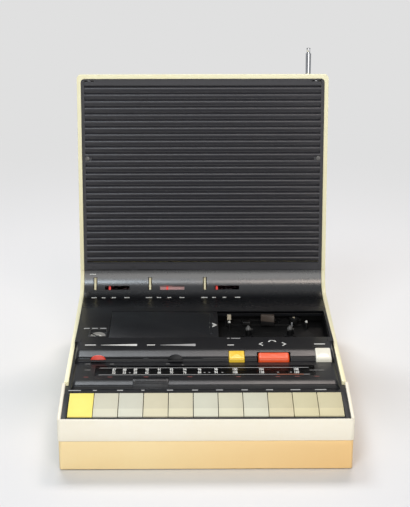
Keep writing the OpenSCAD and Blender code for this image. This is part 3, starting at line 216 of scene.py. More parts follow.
def crowned_cap(x0, x1, s0, s1, z0, crown, r):
    """Closed button form under a crown, a height field of x and s.

    An outline of straight sides and corners of radius r rises from z0, rolls over the edge on a quarter
    circle of the same radius and closes over the crown, which is dished in its middle.
    """
    per_corner, dish = 18, 0.2
    turn = np.concatenate([np.linspace(0, np.pi / 2, per_corner) + q * np.pi / 2 for q in range(4)])
    nx, ns = np.cos(turn), np.sin(turn)
    side_x = np.repeat([x1 - r, x0 + r, x0 + r, x1 - r], per_corner) + r * nx
    side_s = np.repeat([s1 - r, s1 - r, s0 + r, s0 + r], per_corner) + r * ns
    mx, ms = (x0 + x1) / 2, (s0 + s1) / 2
    lift = np.linspace(0, np.pi / 2, 6)
    inset = r * (1 - np.cos(lift))[:, None]
    rim_x, rim_s = side_x - nx * inset, side_s - ns * inset
    rim_z = crown(rim_x, rim_s) - r * (1 - np.sin(lift))[:, None]
    t = np.array([0.8, 0.6, 0.4, 0.2, 0.02])[:, None]
    mid_x, mid_s = mx + (rim_x[-1] - mx) * t, ms + (rim_s[-1] - ms) * t
    mid_z = crown(mid_x, mid_s) - dish * (1 - t * t)
    x = np.concatenate([side_x[None], rim_x, mid_x])
    s = np.concatenate([side_s[None], rim_s, mid_s])
    z = np.concatenate([np.full((1, len(turn)), z0), rim_z, mid_z])
    return stacked([put(*ring) for ring in zip(x, s, z)])


def half_disc(x, s, a, b, z0, z1):
    """Closed plate with the outline of half an ellipse, its straight side in front."""
    turn = np.linspace(0, np.pi, 33)
    return stacked([put(x + a * np.cos(turn), s + b * np.sin(turn), z) for z in (z0, z1)])


def prisms(tops, bottoms):
    """Closed thin plates, one for each four top points, with the four bottom points under them."""
    points = np.concatenate([np.reshape(tops, (-1, 4, 3)), np.reshape(bottoms, (-1, 4, 3))], 1)
    cell = np.array([[0, 1, 2, 3], [7, 6, 5, 4], [1, 0, 4, 5], [2, 1, 5, 6], [3, 2, 6, 7], [0, 3, 7, 4]])
    faces = cell[None] + 8 * np.arange(len(points))[:, None, None]
    return points.reshape(-1, 3), faces.reshape(-1, 4)


def flat_marks(corners, z):
    """Printed marks: four (x, s) corners each, as thin plates that stand a hair above the level z."""
    x, s = np.reshape(corners, (-1, 4, 2)).transpose(2, 0, 1)
    return prisms(put(x, s, z + 0.04), put(x, s, z - 0.1))


def bars(spans, s, height):
    """Corner lists of straight dashes: each from x0 to x1, height deep and centred on s."""
    x0, x1 = np.reshape(spans, (-1, 2)).astype(float).T
    s = np.broadcast_to(s, x0.shape)
    low, high = s - height / 2, s + height / 2
    return np.stack([x0, low, x1, low, x1, high, x0, high], 1).reshape(-1, 4, 2)


def dots(places, s, width, height):
    """Corner lists of short dashes of one width, each centred on a place along x."""
    x = np.asarray(places, float)
    return bars(np.stack([x - width / 2, x + width / 2], 1), s, height)


def strokes(line, width):
    """Corner lists of the strokes along a bent line of (x, s) points, half the width to each side."""
    line = np.asarray(line, float)
    a, b = line[:-1], line[1:]
    d = (b - a) / np.linalg.norm(b - a, axis=1, keepdims=True)
    side = np.stack([-d[:, 1], d[:, 0]], 1) * width / 2
    return np.stack([a - side, b - side, b + side, a + side], 1)


# Pieces

def piece(name, shape, finish, body="case", stands_for=(), smooth=35.0, bevel=0.0):
    """A mesh object from points and faces, at the origin; it rides on a body and may stand for CAD nodes."""
    points, faces = shape
    mesh = bpy.data.meshes.new(name)
    mesh.from_pydata(np.asarray(points).tolist(), [], [list(map(int, f)) for f in faces])
    mesh.validate()
    mesh.shade_smooth()
    mesh.set_sharp_from_angle(angle=np.radians(smooth))
    obj = bpy.data.objects.new(name, mesh)
    bpy.context.scene.collection.objects.link(obj)
    mesh.materials.append(finish)
    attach(obj, body)
    if stands_for:
        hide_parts(*stands_for)
    if bevel:
        soften(obj, bevel)


def soften(obj, width):
    """Rounds the sharp edges of an object by width in millimetres, with the flat faces left flat in shade."""
    mod = obj.modifiers.new("edges", "BEVEL")
    mod.width = width * MM
    mod.segments = 2
    mod.limit_method = "ANGLE"
    mod.angle_limit = np.radians(32)
    mod.harden_normals = True
    mod.use_clamp_overlap = True


def dress(name, finish, bevel):
    """Gives a CAD node its finish, joins its loose triangles, makes flat faces whole and rounds the edges."""
    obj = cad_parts[name]
    obj.data.materials.clear()
    obj.data.materials.append(finish)
    obj.data.polygons.foreach_set("material_index", np.zeros(len(obj.data.polygons), np.int32))
    obj.data.polygons.foreach_set("use_smooth", np.ones(len(obj.data.polygons), bool))
    weld = obj.modifiers.new("joined", "WELD")
    weld.merge_threshold = 2e-6
    flat = obj.modifiers.new("flats", "DECIMATE")
    flat.decimate_type = "DISSOLVE"
    flat.angle_limit = np.radians(0.5)
    if bevel:
        soften(obj, bevel)


# Shader nodes

FLOAT, COLOUR, VECTOR = "NodeSocketFloat", "NodeSocketColor", "NodeSocketVector"


def new_group(name, ins, outs):
    """A shader node group with named inputs and outputs, and its two end nodes."""
    group = bpy.data.node_groups.new(name, "ShaderNodeTree")
    for label, kind, value in ins:
        group.interface.new_socket(name=label, in_out="INPUT", socket_type=kind).default_value = value
    for label, kind in outs:
        group.interface.new_socket(name=label, in_out="OUTPUT", socket_type=kind)
    return group, group.nodes.new("NodeGroupInput").outputs, group.nodes.new("NodeGroupOutput").inputs


def node(tree, kind, links=(), **values):
    """A node with its settings, its input values by name or place, and links into it as (input, output)."""
    n = tree.nodes.new(kind)
    inputs = values.pop("inputs", {})
    for k, v in values.items():
        setattr(n, k, v)
    for k, v in inputs.items():
        n.inputs[k].default_value = v
    for k, out in links:
        tree.links.new(out, n.inputs[k])
    return n


def own_place(tree):
    """The place on the piece's own coordinates."""
    return node(tree, "ShaderNodeTexCoord").outputs["Object"]


def noise(tree, scale=None, **inputs):
    """Noise on the piece's own coordinates, its scale a plain input or linked."""
    links = [("Vector", own_place(tree))]
    if scale is not None:
        links.append(("Scale", scale))
    return node(tree, "ShaderNodeTexNoise", links, inputs=inputs).outputs["Fac"]


def combine(tree, operation, a, b):
    """Two outputs put through one operation."""
    return node(tree, "ShaderNodeMath", [(0, a), (1, b)], operation=operation).outputs[0]


def dot(tree, a, b):
    """Dot product of two outputs."""
    return node(tree, "ShaderNodeVectorMath", [(0, a), (1, b)], operation="DOT_PRODUCT").outputs["Value"]


def ramp(tree, value, low=0.0, high=1.0, links=(), **settings):
    """A value carried from low and high to 0 and 1 and held at both ends, which links may set instead."""
    ends = {"From Min": low, "From Max": high}
    return node(tree, "ShaderNodeMapRange", [("Value", value), *links], inputs=ends, **settings).outputs[0]


def blend(tree, factor, first, second):
    """One colour blended to a second by a factor."""
    mix = node(tree, "ShaderNodeMix", [("Factor", factor), (6, first), (7, second)], data_type="RGBA")
    return mix.outputs[2]


def make_moulded_skin():
    """Fine spark-eroded mould texture: a noise of the grain size times its depth, as a height."""
    g, i, o = new_group("moulded_skin", [
        ("Grain", FLOAT, 1500.0), ("Depth", FLOAT, 0.2)], [("Height", FLOAT)])
    fine = noise(g, i["Grain"], Detail=3.0, Roughness=0.6)
    g.links.new(combine(g, "MULTIPLY", fine, i["Depth"]), o["Height"])
    return g


def make_aged_tone():
    """Uneven ageing: broad patches plus a part of fine ones blend a colour towards its aged one."""
    g, i, o = new_group("aged_tone", [
        ("Colour", COLOUR, (0.8, 0.8, 0.8, 1)), ("Aged", COLOUR, (0.7, 0.6, 0.4, 1)),
        ("Patch", FLOAT, 9.0), ("Amount", FLOAT, 0.4)], [("Colour", COLOUR)])
    broad = noise(g, i["Patch"], Detail=4.0, Roughness=0.55)
    fine = noise(g, Scale=160.0, Detail=3.0)
    both = node(g, "ShaderNodeMath", [(0, fine), (2, broad)], operation="MULTIPLY_ADD", inputs={1: 0.35})
    part = ramp(g, both.outputs[0], 0.45, 0.95, [("To Max", i["Amount"])])
    g.links.new(blend(g, part, i["Colour"], i["Aged"]), o["Colour"])
    return g


def make_rubbed_edges():
    """Wear along edges: where a rounded normal leaves the true one, broken by noise, a colour turns worn."""
    g, i, o = new_group("rubbed_edges", [
        ("Colour", COLOUR, (0.1, 0.1, 0.1, 1)), ("Worn", COLOUR, (0.3, 0.3, 0.3, 1)),
        ("Width", FLOAT, 0.0008), ("Amount", FLOAT, 0.5)], [("Colour", COLOUR)])
    soft = node(g, "ShaderNodeBevel", [("Radius", i["Width"])], samples=4).outputs["Normal"]
    true = node(g, "ShaderNodeNewGeometry").outputs["Normal"]
    edge = ramp(g, dot(g, soft, true), 0.995, 0.86)
    chips = ramp(g, noise(g, Scale=420.0, Detail=4.0), 0.35, 0.65)
    part = combine(g, "MULTIPLY", combine(g, "MULTIPLY", edge, chips), i["Amount"])
    g.links.new(blend(g, part, i["Colour"], i["Worn"]), o["Colour"])
    return g


def make_settled_dust():
    """Dust on faces that look up: the height of the normal times fine specks and broad patches of noise."""
    g, i, o = new_group("settled_dust", [
        ("Colour", COLOUR, (0.1, 0.1, 0.1, 1)), ("Dust", COLOUR, (0.5, 0.5, 0.48, 1)),
        ("Amount", FLOAT, 0.1)], [("Colour", COLOUR)])
    true = node(g, "ShaderNodeNewGeometry").outputs["Normal"]
    up = ramp(g, node(g, "ShaderNodeSeparateXYZ", [(0, true)]).outputs["Z"], 0.4, 1.0)
    specks = ramp(g, noise(g, Scale=900.0, Detail=5.0, Roughness=0.7), 0.45, 0.75)
    lies = combine(g, "MULTIPLY", combine(g, "MULTIPLY", specks, noise(g, Scale=22.0, Detail=3.0)), up)
    part = combine(g, "MULTIPLY", lies, i["Amount"])
    g.links.new(blend(g, part, i["Colour"], i["Dust"]), o["Colour"])
    return g


def make_handled_gloss():
    """Uneven gloss of handled plastic and metal: patches of noise between a low and a high roughness."""
    g, i, o = new_group("handled_gloss", [
        ("Low", FLOAT, 0.3), ("High", FLOAT, 0.45), ("Patch", FLOAT, 40.0)], [("Roughness", FLOAT)])
    smear = noise(g, i["Patch"], Detail=5.0, Roughness=0.6)
    g.links.new(ramp(g, smear, 0.3, 0.7, [("To Min", i["Low"]), ("To Max", i["High"])]), o["Roughness"])
    return g


def make_second_tone():
    """A second colour past a plane: the place along an axis, from start to end, blends one to the other."""
    g, i, o = new_group("second_tone", [
        ("Colour", COLOUR, (0.5, 0.5, 0.5, 1)), ("Second", COLOUR, (0.8, 0.8, 0.8, 1)),
        ("Along", VECTOR, (0, 0, 1)), ("Start", FLOAT, 0.0), ("End", FLOAT, 0.01)], [("Colour", COLOUR)])
    along = dot(g, own_place(g), i["Along"])
    part = ramp(g, along, links=[("From Min", i["Start"]), ("From Max", i["End"])])
    g.links.new(blend(g, part, i["Colour"], i["Second"]), o["Colour"])
    return g


GROUPS = {"second": make_second_tone(), "skin": make_moulded_skin(), "aged": make_aged_tone(),
          "rubbed": make_rubbed_edges(), "dust": make_settled_dust(), "gloss": make_handled_gloss()}


def use(tree, name, links=(), **inputs):
    """First output of one of the shared groups, placed in a material with its own values."""
    return node(tree, "ShaderNodeGroup", links, node_tree=GROUPS[name], inputs=inputs).outputs[0]


# Finishes

def ink(r, g, b):
    """A colour as the eye reads it, 0 to 255, as the shader's linear value."""
    c = np.array([r, g, b], float) / 255
    c = np.where(c <= 0.04045, c / 12.92, ((c + 0.055) / 1.055) ** 2.4)
    return (*c.tolist(), 1.0)


def start(name):
    """A material with a Principled shader on its output."""
    m = bpy.data.materials.new(name)
    m.use_nodes = True
    m.node_tree.nodes.clear()
    shader = node(m.node_tree, "ShaderNodeBsdfPrincipled")
    node(m.node_tree, "ShaderNodeOutputMaterial", [("Surface", shader.outputs[0])])
    return m, m.node_tree, shader


def toned(name, colour, aged, rough, patch, amount, smears=40.0):
    """A material whose colour is an aged tone and whose gloss is uneven, and the output of that tone."""
    m, tree, shader = start(name)
    aged_tone = use(tree, "aged", Colour=ink(*colour), Aged=ink(*aged), Patch=patch, Amount=amount)
    tree.links.new(aged_tone, shader.inputs["Base Color"])
    tree.links.new(use(tree, "gloss", Low=rough[0], High=rough[1], Patch=smears), shader.inputs["Roughness"])
    return m, tree, shader, aged_tone


def past_plane(tree, links, plane, **colours):
    """The second tone group, with its plane given as an axis and two places along it in millimetres."""
    axis, first, last = plane
    return use(tree, "second", links, Along=axis, Start=first * MM, End=last * MM, **colours)


def plastic(name, colour, aged, amount=0.35, patch=9.0, rough=(0.32, 0.46), grain=1500.0, depth=0.15,
            worn=None, wear=0.4, dust=0.08, specular=0.5, second=None, glow=None, sheen=None):
    """Moulded plastic: an aged tone, a second tone past a plane, rubbed edges and dust make its colour.

    Patches make its gloss, a coat that begins past a plane its sheen and a mould texture its bump.
    """
    m, tree, shader, shade = toned(name, colour, aged, rough, patch, amount)
    if second:
        shade = past_plane(tree, [("Colour", shade)], second[:3], Second=ink(*second[3]))
    shade = use(tree, "rubbed", [("Colour", shade)], Worn=ink(*(worn or aged)), Amount=wear)
    shade = use(tree, "dust", [("Colour", shade)], Amount=dust)
    tree.links.new(shade, shader.inputs["Base Color"])
    bump = node(tree, "ShaderNodeBump", [("Height", use(tree, "skin", Grain=grain, Depth=depth))],
                inputs={"Strength": 0.25, "Distance": 0.0002})
    tree.links.new(bump.outputs["Normal"], shader.inputs["Normal"])
    shader.inputs["Specular IOR Level"].default_value = specular
    # A glow is emission on a part that is no lamp: a painted glow.
    if glow:
        shader.inputs["Emission Color"].default_value = ink(*glow[:3])
        shader.inputs["Emission Strength"].default_value = glow[3]
    if sheen:
        cover = past_plane(tree, (), sheen[:3], Colour=(0, 0, 0, 1), Second=(1, 1, 1, 1))
        tree.links.new(cover, shader.inputs["Coat Weight"])
        shader.inputs["Coat Roughness"].default_value = rough[0]
        shader.inputs["Coat IOR"].default_value = sheen[3]
    return m


def metal(name, colour, dull, rough=(0.18, 0.34)):
    """Bare or plated metal: a tarnished tone and uneven gloss."""
    m, _, shader, _ = toned(name, colour, dull, rough, 60.0, 0.4, smears=60.0)
    shader.inputs["Metallic"].default_value = 1.0
    return m


def glass(name, colour, rough, ior):
    """Clear or smoked acrylic: transmission through a tint, with faint smears in its gloss."""
    m, _, shader, _ = toned(name, colour, [0.85 * c for c in colour], rough, 14.0, 0.3, smears=30.0)
    shader.inputs["Transmission Weight"].default_value = 1.0
    shader.inputs["IOR"].default_value = ior
    return m


def printed(name, colour, faded):
    """Screen printed ink, slightly thin in places."""
    return toned(name, colour, faded, (0.45, 0.6), 120.0, 0.5)[0]


ACROSS, FORWARD, UP = (1, 0, 0), (0, -1, 0), (0, 0, 1)
BUTTON_GLOSS, KEY_GLOSS = (0.28, 0.4), (0.5, 0.6)

cream = plastic("cream_shell", (250, 245, 208), (240, 226, 170), amount=0.45, worn=(232, 216, 168), wear=0.35,
                dust=0.05)
white = plastic("white_frame", (247, 241, 225), (240, 228, 196), amount=0.4, worn=(228, 214, 180), wear=0.3,
                dust=0.04)
tan = plastic("tan_tray", (247, 222, 168), (243, 210, 150), amount=0.5, patch=6.0, worn=(222, 184, 120),
              wear=0.35, dust=0.04, second=(ACROSS, -60, 150, (243, 200, 134)))
panel_black = plastic("black_panel", (14, 15, 18), (19, 18, 20), rough=(0.3, 0.35), worn=(84, 84, 88),
                      wear=0.25, dust=0.06, grain=2200.0, depth=0.06, specular=0.28)
# The fascia's base colour turns lighter up its arc, past the plane at 69.9 to 73.0 mm: a painted sheen.
fascia_black = plastic("black_fascia", (16, 17, 20), (20, 20, 22), rough=(0.26, 0.29), worn=(84, 84, 88),
                       wear=0.3, dust=0.03, grain=2200.0, depth=0.015, specular=0.2,
                       second=(UP, 69.9, 73.0, (42, 43, 45)), sheen=(UP, 70.4, 75.0, 1.75))
grille_black = plastic("black_grille", (50, 50, 55), (57, 54, 56), rough=(0.3, 0.4), worn=(84, 84, 88),
                       wear=0.2, dust=0.16)
bezel_black = plastic("bezel_black", (22, 23, 25), (29, 29, 30), rough=(0.4, 0.5), worn=(66, 66, 68),
                      wear=0.25, dust=0.06, specular=0.2)
well_black = plastic("well_black", (10, 10, 10), (14, 13, 13), rough=(0.55, 0.7), worn=(48, 46, 45),
                     wear=0.25, dust=0.12, specular=0.25)
lid_black = plastic("lid_smoked", (22, 24, 27), (26, 27, 30), rough=(0.34, 0.4), worn=(80, 82, 86), wear=0.4,
                    dust=0.08, depth=0.03, specular=0.22)
red = plastic("red_plastic", (226, 62, 40), (200, 50, 34), rough=BUTTON_GLOSS, worn=(240, 130, 100), wear=0.3)
orange_red = plastic("orange_red_plastic", (244, 90, 36), (230, 78, 30), rough=BUTTON_GLOSS,
                     worn=(246, 150, 112), wear=0.3)
yellow = plastic("yellow_plastic", (250, 208, 58), (238, 188, 44), rough=BUTTON_GLOSS, worn=(252, 226, 130),
                 wear=0.3)
ivory = plastic("ivory_plastic", (244, 241, 226), (234, 226, 198), rough=BUTTON_GLOSS, worn=(222, 214, 186),
                wear=0.3)
wheel_cream = plastic("wheel_cream", (240, 232, 196), (222, 208, 158), rough=(0.35, 0.5),
                      worn=(204, 190, 140))
key_yellow = plastic("yellow_key", (253, 236, 122), (246, 222, 100), rough=KEY_GLOSS, worn=(250, 240, 170),
                     wear=0.25, specular=0.2)
rubber = plastic("rubber", (38, 36, 34), (52, 49, 45), rough=(0.6, 0.8), dust=0.2, depth=0.4)
roller_black = plastic("roller_black", (26, 26, 28), (36, 35, 35), rough=(0.4, 0.55),
                       worn=(74, 74, 76), dust=0.2)
paper = plastic("cone_paper", (30, 29, 28), (46, 43, 40), rough=(0.7, 0.9), grain=900.0, depth=0.6)
board_green = plastic("board", (58, 92, 52), (74, 88, 50), rough=(0.3, 0.5))
iron = plastic("iron", (92, 84, 74), (120, 92, 66), rough=(0.45, 0.65))
meter_dark = plastic("meter_case", (28, 28, 30), (36, 35, 34), rough=(0.3, 0.45))
# The preset pointers glow by emission though they are no lamp: a painted glow.
pointer_red_painted_glow = plastic("pointer_red_painted_glow", (214, 70, 62), (200, 60, 54), rough=(0.35, 0.45),
                      glow=(255, 112, 104, 0.9))
# The lining of the middle preset window glows by emission though it is no lamp: a painted glow.
painted_glow_pink = plastic("painted_glow_scale", (176, 160, 160), (166, 152, 152), rough=(0.5, 0.6),
                   glow=(206, 196, 194, 0.6))
spindle_grey = plastic("spindle", (14, 14, 15), (18, 18, 18), worn=(40, 40, 40), specular=0.3,
                       second=(UP, 61.6, 63.2, (96, 95, 93)))
drive_black = plastic("drive_plate", (10, 10, 10), (14, 13, 13), rough=(0.5, 0.65), worn=(30, 30, 30),
                      specular=0.25, second=(UP, 61.2, 61.8, (226, 224, 216)))
carriage_dark = plastic("carriage", (16, 15, 15), (20, 19, 19), rough=(0.45, 0.6), worn=(40, 38, 36),
                        specular=0.3, second=(UP, 60.6, 61.2, (196, 184, 160)))
head_metal = plastic("tape_head", (24, 23, 23), (30, 28, 28), rough=(0.3, 0.4), worn=(70, 68, 64),
                     second=((0.0995, 0, 0.995), 66.0, 66.8, (84, 74, 66)))
steel = metal("steel", (196, 198, 202), (150, 148, 144))
screw_dark = metal("screw_dark", (112, 111, 110), (84, 82, 80), rough=(0.35, 0.5))
chrome = metal("chrome", (226, 228, 232), (186, 184, 180), rough=(0.08, 0.18))
brass = metal("brass", (206, 168, 84), (150, 116, 60))
dial_glass = glass("smoked_acrylic", (64, 64, 68), (0.34, 0.4), 1.12)
lens_dark = glass("lens_smoked", (214, 190, 190), (0.03, 0.1), 1.06)
ink_white = printed("ink_white", (232, 232, 226), (190, 190, 186))
ink_grey = printed("ink_grey", (170, 170, 168), (130, 130, 130))
ink_red = printed("ink_red", (128, 52, 46), (104, 44, 40))
ink_orange = printed("ink_orange", (214, 132, 104), (176, 110, 90))
ink_dim = printed("ink_dim", (120, 119, 116), (92, 91, 90))
scale_grey = printed("scale_grey", (140, 138, 132), (118, 116, 110))
scale_pale = printed("scale_pale", (206, 204, 196), (180, 178, 170))

# Keys yellowed each in its own way
KEY_TONES = {2: (207, 204, 182), 3: (204, 203, 185), 4: (207, 200, 171), 5: (207, 201, 174),
             6: (204, 203, 183), 7: (206, 202, 177), 8: (204, 202, 180), 9: (204, 195, 160),
             10: (204, 196, 159), 11: (204, 195, 158)}


def grey_key(i, colour):
    """Finish of one pale key: its aged tone darker, its front part lighter as a painted highlight."""
    aged, front = (tuple(int(v * factor) for v in colour) for factor in (0.94, 1.05))
    return plastic(f"grey_key_{i}", colour, aged, amount=0.4, patch=14.0, rough=KEY_GLOSS,
                   worn=(196, 188, 158), wear=0.25, specular=0.2, second=(FORWARD, 161.7, 162.2, front))


key_finish = {1: key_yellow, **{i: grey_key(i, colour) for i, colour in KEY_TONES.items()}}

# CAD nodes that keep their shape, with their finish and the width of their rounded edges
for name, finish, width in (
        ("bottom_tray", tan, 1.2), ("front_frame", white, 0.9), ("main_shell", cream, 0.7),
        ("speaker_shell", cream, 0.8), ("key_bezel", bezel_black, 0.3), ("key_rod", steel, 0.0),
        ("dial_window", dial_glass, 0.15), ("preset_lenses", lens_dark, 0.1),
        ("cassette_lid", lid_black, 0.35), ("mechanism_plate", drive_black, 0.1),
        ("reel_spindle_left", spindle_grey, 0.15),
        ("reel_spindle_right", spindle_grey, 0.15), ("flywheel", steel, 0.1), ("motor", steel, 0.3),
        ("motor_pulley", brass, 0.1), ("drive_belt", rubber, 0.0), ("head_carriage", carriage_dark, 0.1),
        ("tape_heads", head_metal, 0.3), ("pinch_roller", well_black, 0.3), ("tone_slider", panel_black, 0.3),
        ("tuning_roller", roller_black, 0.1), ("dial_pointer", red, 0.1), ("level_meter", meter_dark, 0.2),
        ("meter_needle", bezel_black, 0.0), ("aerial_turret", chrome, 0.2), ("aerial_tube", chrome, 0.2),
        ("aerial_rod", chrome, 0.2), ("aerial_tip", chrome, 0.2), ("speaker_frames", paper, 0.2),
        ("speaker_cones", paper, 0.0), ("microphones", steel, 0.2), ("main_board", board_green, 0.2),
        ("power_transformer", iron, 0.3), ("mains_inlet", bezel_black, 0.3), ("feet", rubber, 0.4),
        ("screws", screw_dark, 0.2)):
    dress(name, finish, width)
for i in range(1, 12):
    dress(f"key_{i}", key_finish[i], 0.45)
for i in range(1, 4):
    dress(f"preset_wheel_{i}", wheel_cream, 0.1)
    dress(f"preset_pointer_{i}", pointer_red_painted_glow, 0.1)


# Louvred grille

def slat_outline(z_top, z_low):
    """Outline of one slat in depth and height.

    A quarter-round upper edge, a front that leans in towards its foot, and slot walls that rise inwards to a
    stop at the back.
    """
    rise = GRILLE_T * np.tan(LOUVRE_TILT)
    h = z_top - z_low
    a = np.linspace(0, np.pi / 2, 7)
    r = 0.42 * h
    front = np.stack([0.75 * r * (1 - np.cos(a)), z_top - r * (1 - np.sin(a))], 1)
    foot = np.array([[1.0, z_low], [0.7, z_low + 0.12 * h], [0.25, z_low + 0.45 * h]])
    lip = np.array([[0.75 * r + 0.3, z_top + 0.1]])
    stop_y, stop_z = GRILLE_T - 0.8, z_top + rise + 1.3
    back = np.array([[stop_y, z_top + 0.8 * rise], [stop_y, stop_z],
                     [GRILLE_T, stop_z], [GRILLE_T, z_low + rise]])
    return np.concatenate([foot, front, lip, back])


def panel_box(x0, x1, z0, z1, y0=0.0, y1=GRILLE_T):
    """Box on the speaker panel, from y0 to y1 into it."""
    return ring_bar([[y0, z0], [y0, z1], [y1, z1], [y1, z0]], x0, x1, on_panel)


def notched_foot(z_top):
    """Strip from the grille's foot up to z_top, whose lower edge rises to a half circle at each notch."""
    arcs = [c + NOTCH_R * np.cos(np.linspace(0, np.pi, 17)) for c in NOTCH_X]
    x = np.unique(np.concatenate([np.linspace(-SLAT_HALF, SLAT_HALF, 3), *arcs]))
    low = np.full(x.shape, GRILLE_Z0 - 0.1)
    for c in NOTCH_X:
        arch = GRILLE_Z0 + 1.5 + np.sqrt(np.maximum(0, NOTCH_R ** 2 - (x - c) ** 2))
        low = np.where(np.abs(x - c) <= NOTCH_R, arch, low)
    depth = np.array([0.0, 0.0, GRILLE_T, GRILLE_T])
    return stacked([on_panel(at, depth, [z, z_top, z_top, z]) for at, z in zip(x, low)])


def louvred_grille():
    """Slats between the slots and what borders them.

    Plain strips at head and foot, a backing at the foot, upright borders, fillings beside the short slot and
    between the microphone slots.
    """
    slot = SLOT_W / np.cos(LOUVRE_TILT)
    mid = GRILLE_Z1 - 6.9 - SLOT_PITCH * np.arange(SLOT_COUNT) - GRILLE_T / 2 * np.tan(LOUVRE_TILT)
    upper, lower = mid + slot / 2, mid - slot / 2
    mic0, mic1 = GRILLE_Z1 - 2.8, GRILLE_Z1 - 1.6
    parts = [ring_bar(slat_outline(top, low), -SLAT_HALF, SLAT_HALF, on_panel)
             for top, low in zip(lower[:-1], upper[1:])]
    parts += [panel_box(-PANEL_HALF, PANEL_HALF, GRILLE_Z0 - 2.0, GRILLE_Z0 + 8.0, 2.75, 3.0),
              panel_box(-SLAT_HALF, SLAT_HALF, upper[0], mic0),
              panel_box(-SLAT_HALF, SLAT_HALF, mic1, GRILLE_Z1),
              panel_box(-SLOT_HALF + 10, SLOT_HALF - 10, mic0 - 0.2, mic1 + 0.2)]
    for side in (-1, 1):
        x0, x1 = sorted((side * SLOT_HALF, side * PANEL_HALF))
        parts.append(panel_box(x0, x1, GRILLE_Z0 - 0.1, GRILLE_Z1))
        x0, x1 = sorted((side * (SLOT_HALF - 6.5), side * SLAT_HALF))
        parts.append(panel_box(x0, x1, lower[SHORT_SLOT] - 0.6, upper[SHORT_SLOT] + 0.6, 0.02))
    return join(*parts, notched_foot(lower[-1]))


piece("louvred_grille", louvred_grille(), grille_black, stands_for=("speaker_grille",),
      smooth=40.0)

# Stepped deck
END_ROUND = 5.0
deck_line = np.concatenate([
    [(STRIP_S, STRIP_Z)], step_line(STEP_S, STRIP_Z, run=8.0, h=5.5, face=3.6, r=2.4),
    step_line(NOSE_S, DIAL_Z, run=13.0, h=7.5, face=4.1, r=3.5), [(DECK_END, DECK_Z)]])
margin_line = np.array([[STRIP_S, STRIP_Z - 1.5], [WIDE_S, 63.4]])


def deck_top(x, s):
    """Height of the deck: the stepped side view, rolled down on a circle at each end.

    Low margins lie beside it before the wide part, and the roll fades out towards that.
    """
    side = np.abs(x)
    d = np.clip(side - (NOSE_HALF - END_ROUND), 0, END_ROUND)
    roll = END_ROUND - np.sqrt(END_ROUND ** 2 - d ** 2)
    line = np.interp(s, deck_line[:, 0], deck_line[:, 1])
    fade = np.clip((WIDE_S - s) / 18.0, 0, 1)
    margin = np.interp(s, margin_line[:, 0], margin_line[:, 1])
    raised = np.maximum(line - roll * np.sqrt(fade), margin)
    return np.where((side > NOSE_HALF + 0.01) & (s < WIDE_S), margin, raised)


def deck_under(x, s):
    """Underside of the deck: a sheet below its top, thinned to lips of 1 over the edges of the lid's bed."""
    lip = (s > BED_S0 - 0.01) & (s < BED_S1 + 0.01) & (x > BED_X0 - 0.01)
    return deck_top(x, s) - np.where(lip, 1.0, SHEET)


# Caps on the upper nose: finish, slot, edge radius, how much shorter than the solid, gap at the sides
CAPS = {"record_button": (yellow, "yellow_button", 1.2, 1.2, 0.3),
        "stop_button": (ivory, "ivory_plastic", 1.4, 1.2, 0.3),
        "transport_rocker": (orange_red, "red_plastic", 2.0, 2.1, 1.3)}
CAP_S0, CAP_Z0, CAP_LIP_Z = edges("record_button").s0, 58.0, 65.66
TRAVEL, KNOB_HALF, SLIDER_SLOT = 36.0, 7.25, (114.83, 115.22)
ROLLER_HALF = 16.8

deck_holes = [
    (BED_X0, BED_X1, BED_S0 + 1.6, BED_S1 - 1.6),
    (roller.mid - ROLLER_HALF, roller.mid + ROLLER_HALF, roller.s0 - SLIP, roller.s1 + SLIP),
    (-WING_HALF, -PANEL_HALF, WING_S, DECK_END), (PANEL_HALF, WING_HALF, WING_S, DECK_END)]
deck_holes += [(e.x0 - SLIP, e.x1 + SLIP, e.s0 - SLIP, e.s1 + SLIP) for e in (meter, dial)]
for first_x in (volume.mid, tone.mid - TRAVEL / 2):
    deck_holes.append((first_x - KNOB_HALF - 1, first_x + TRAVEL + KNOB_HALF + 1, *SLIDER_SLOT))
for name, (_, _, _, short, gap) in CAPS.items():
    cap = edges(name)
    deck_holes.append((cap.x0 - gap, cap.x1 + gap, CAP_S0 - SLIP, cap.s1 - short + SLIP))
hole_x = [v for hole in deck_holes for v in hole[:2]]
hole_s = [v for hole in deck_holes for v in hole[2:]]
end_x = NOSE_HALF - END_ROUND * (1 - np.sin(np.linspace(0, np.pi / 2, 9)))
margin_x, between_x = NOSE_HALF + 0.02, [-10, WELL_X0, 55, 90]
deck_x = np.concatenate([hole_x, end_x, -end_x, [-PANEL_HALF, -margin_x, margin_x, PANEL_HALF], between_x])
fade_s = np.linspace(131.4, WIDE_S - 0.02, 8)
deck_s = np.concatenate([hole_s, deck_line[:, 0], fade_s, [WIDE_S, BED_S0, BED_S1, DECK_END]])
stepped_deck = plate(deck_x, deck_s, deck_top, deck_under, deck_holes)
piece("stepped_deck", stepped_deck, panel_black, stands_for=("deck_plate",), bevel=0.2)

lid_bed = plate([BED_X0, BED_X1, WELL_X0, WELL_X1], [BED_S0, BED_S1, WELL_S0, WELL_S1], level(BED_Z),
                level(BED_Z - SHEET), [(WELL_X0, WELL_X1, WELL_S0, WELL_S1)])
piece("lid_bed", lid_bed, panel_black, bevel=0.15)


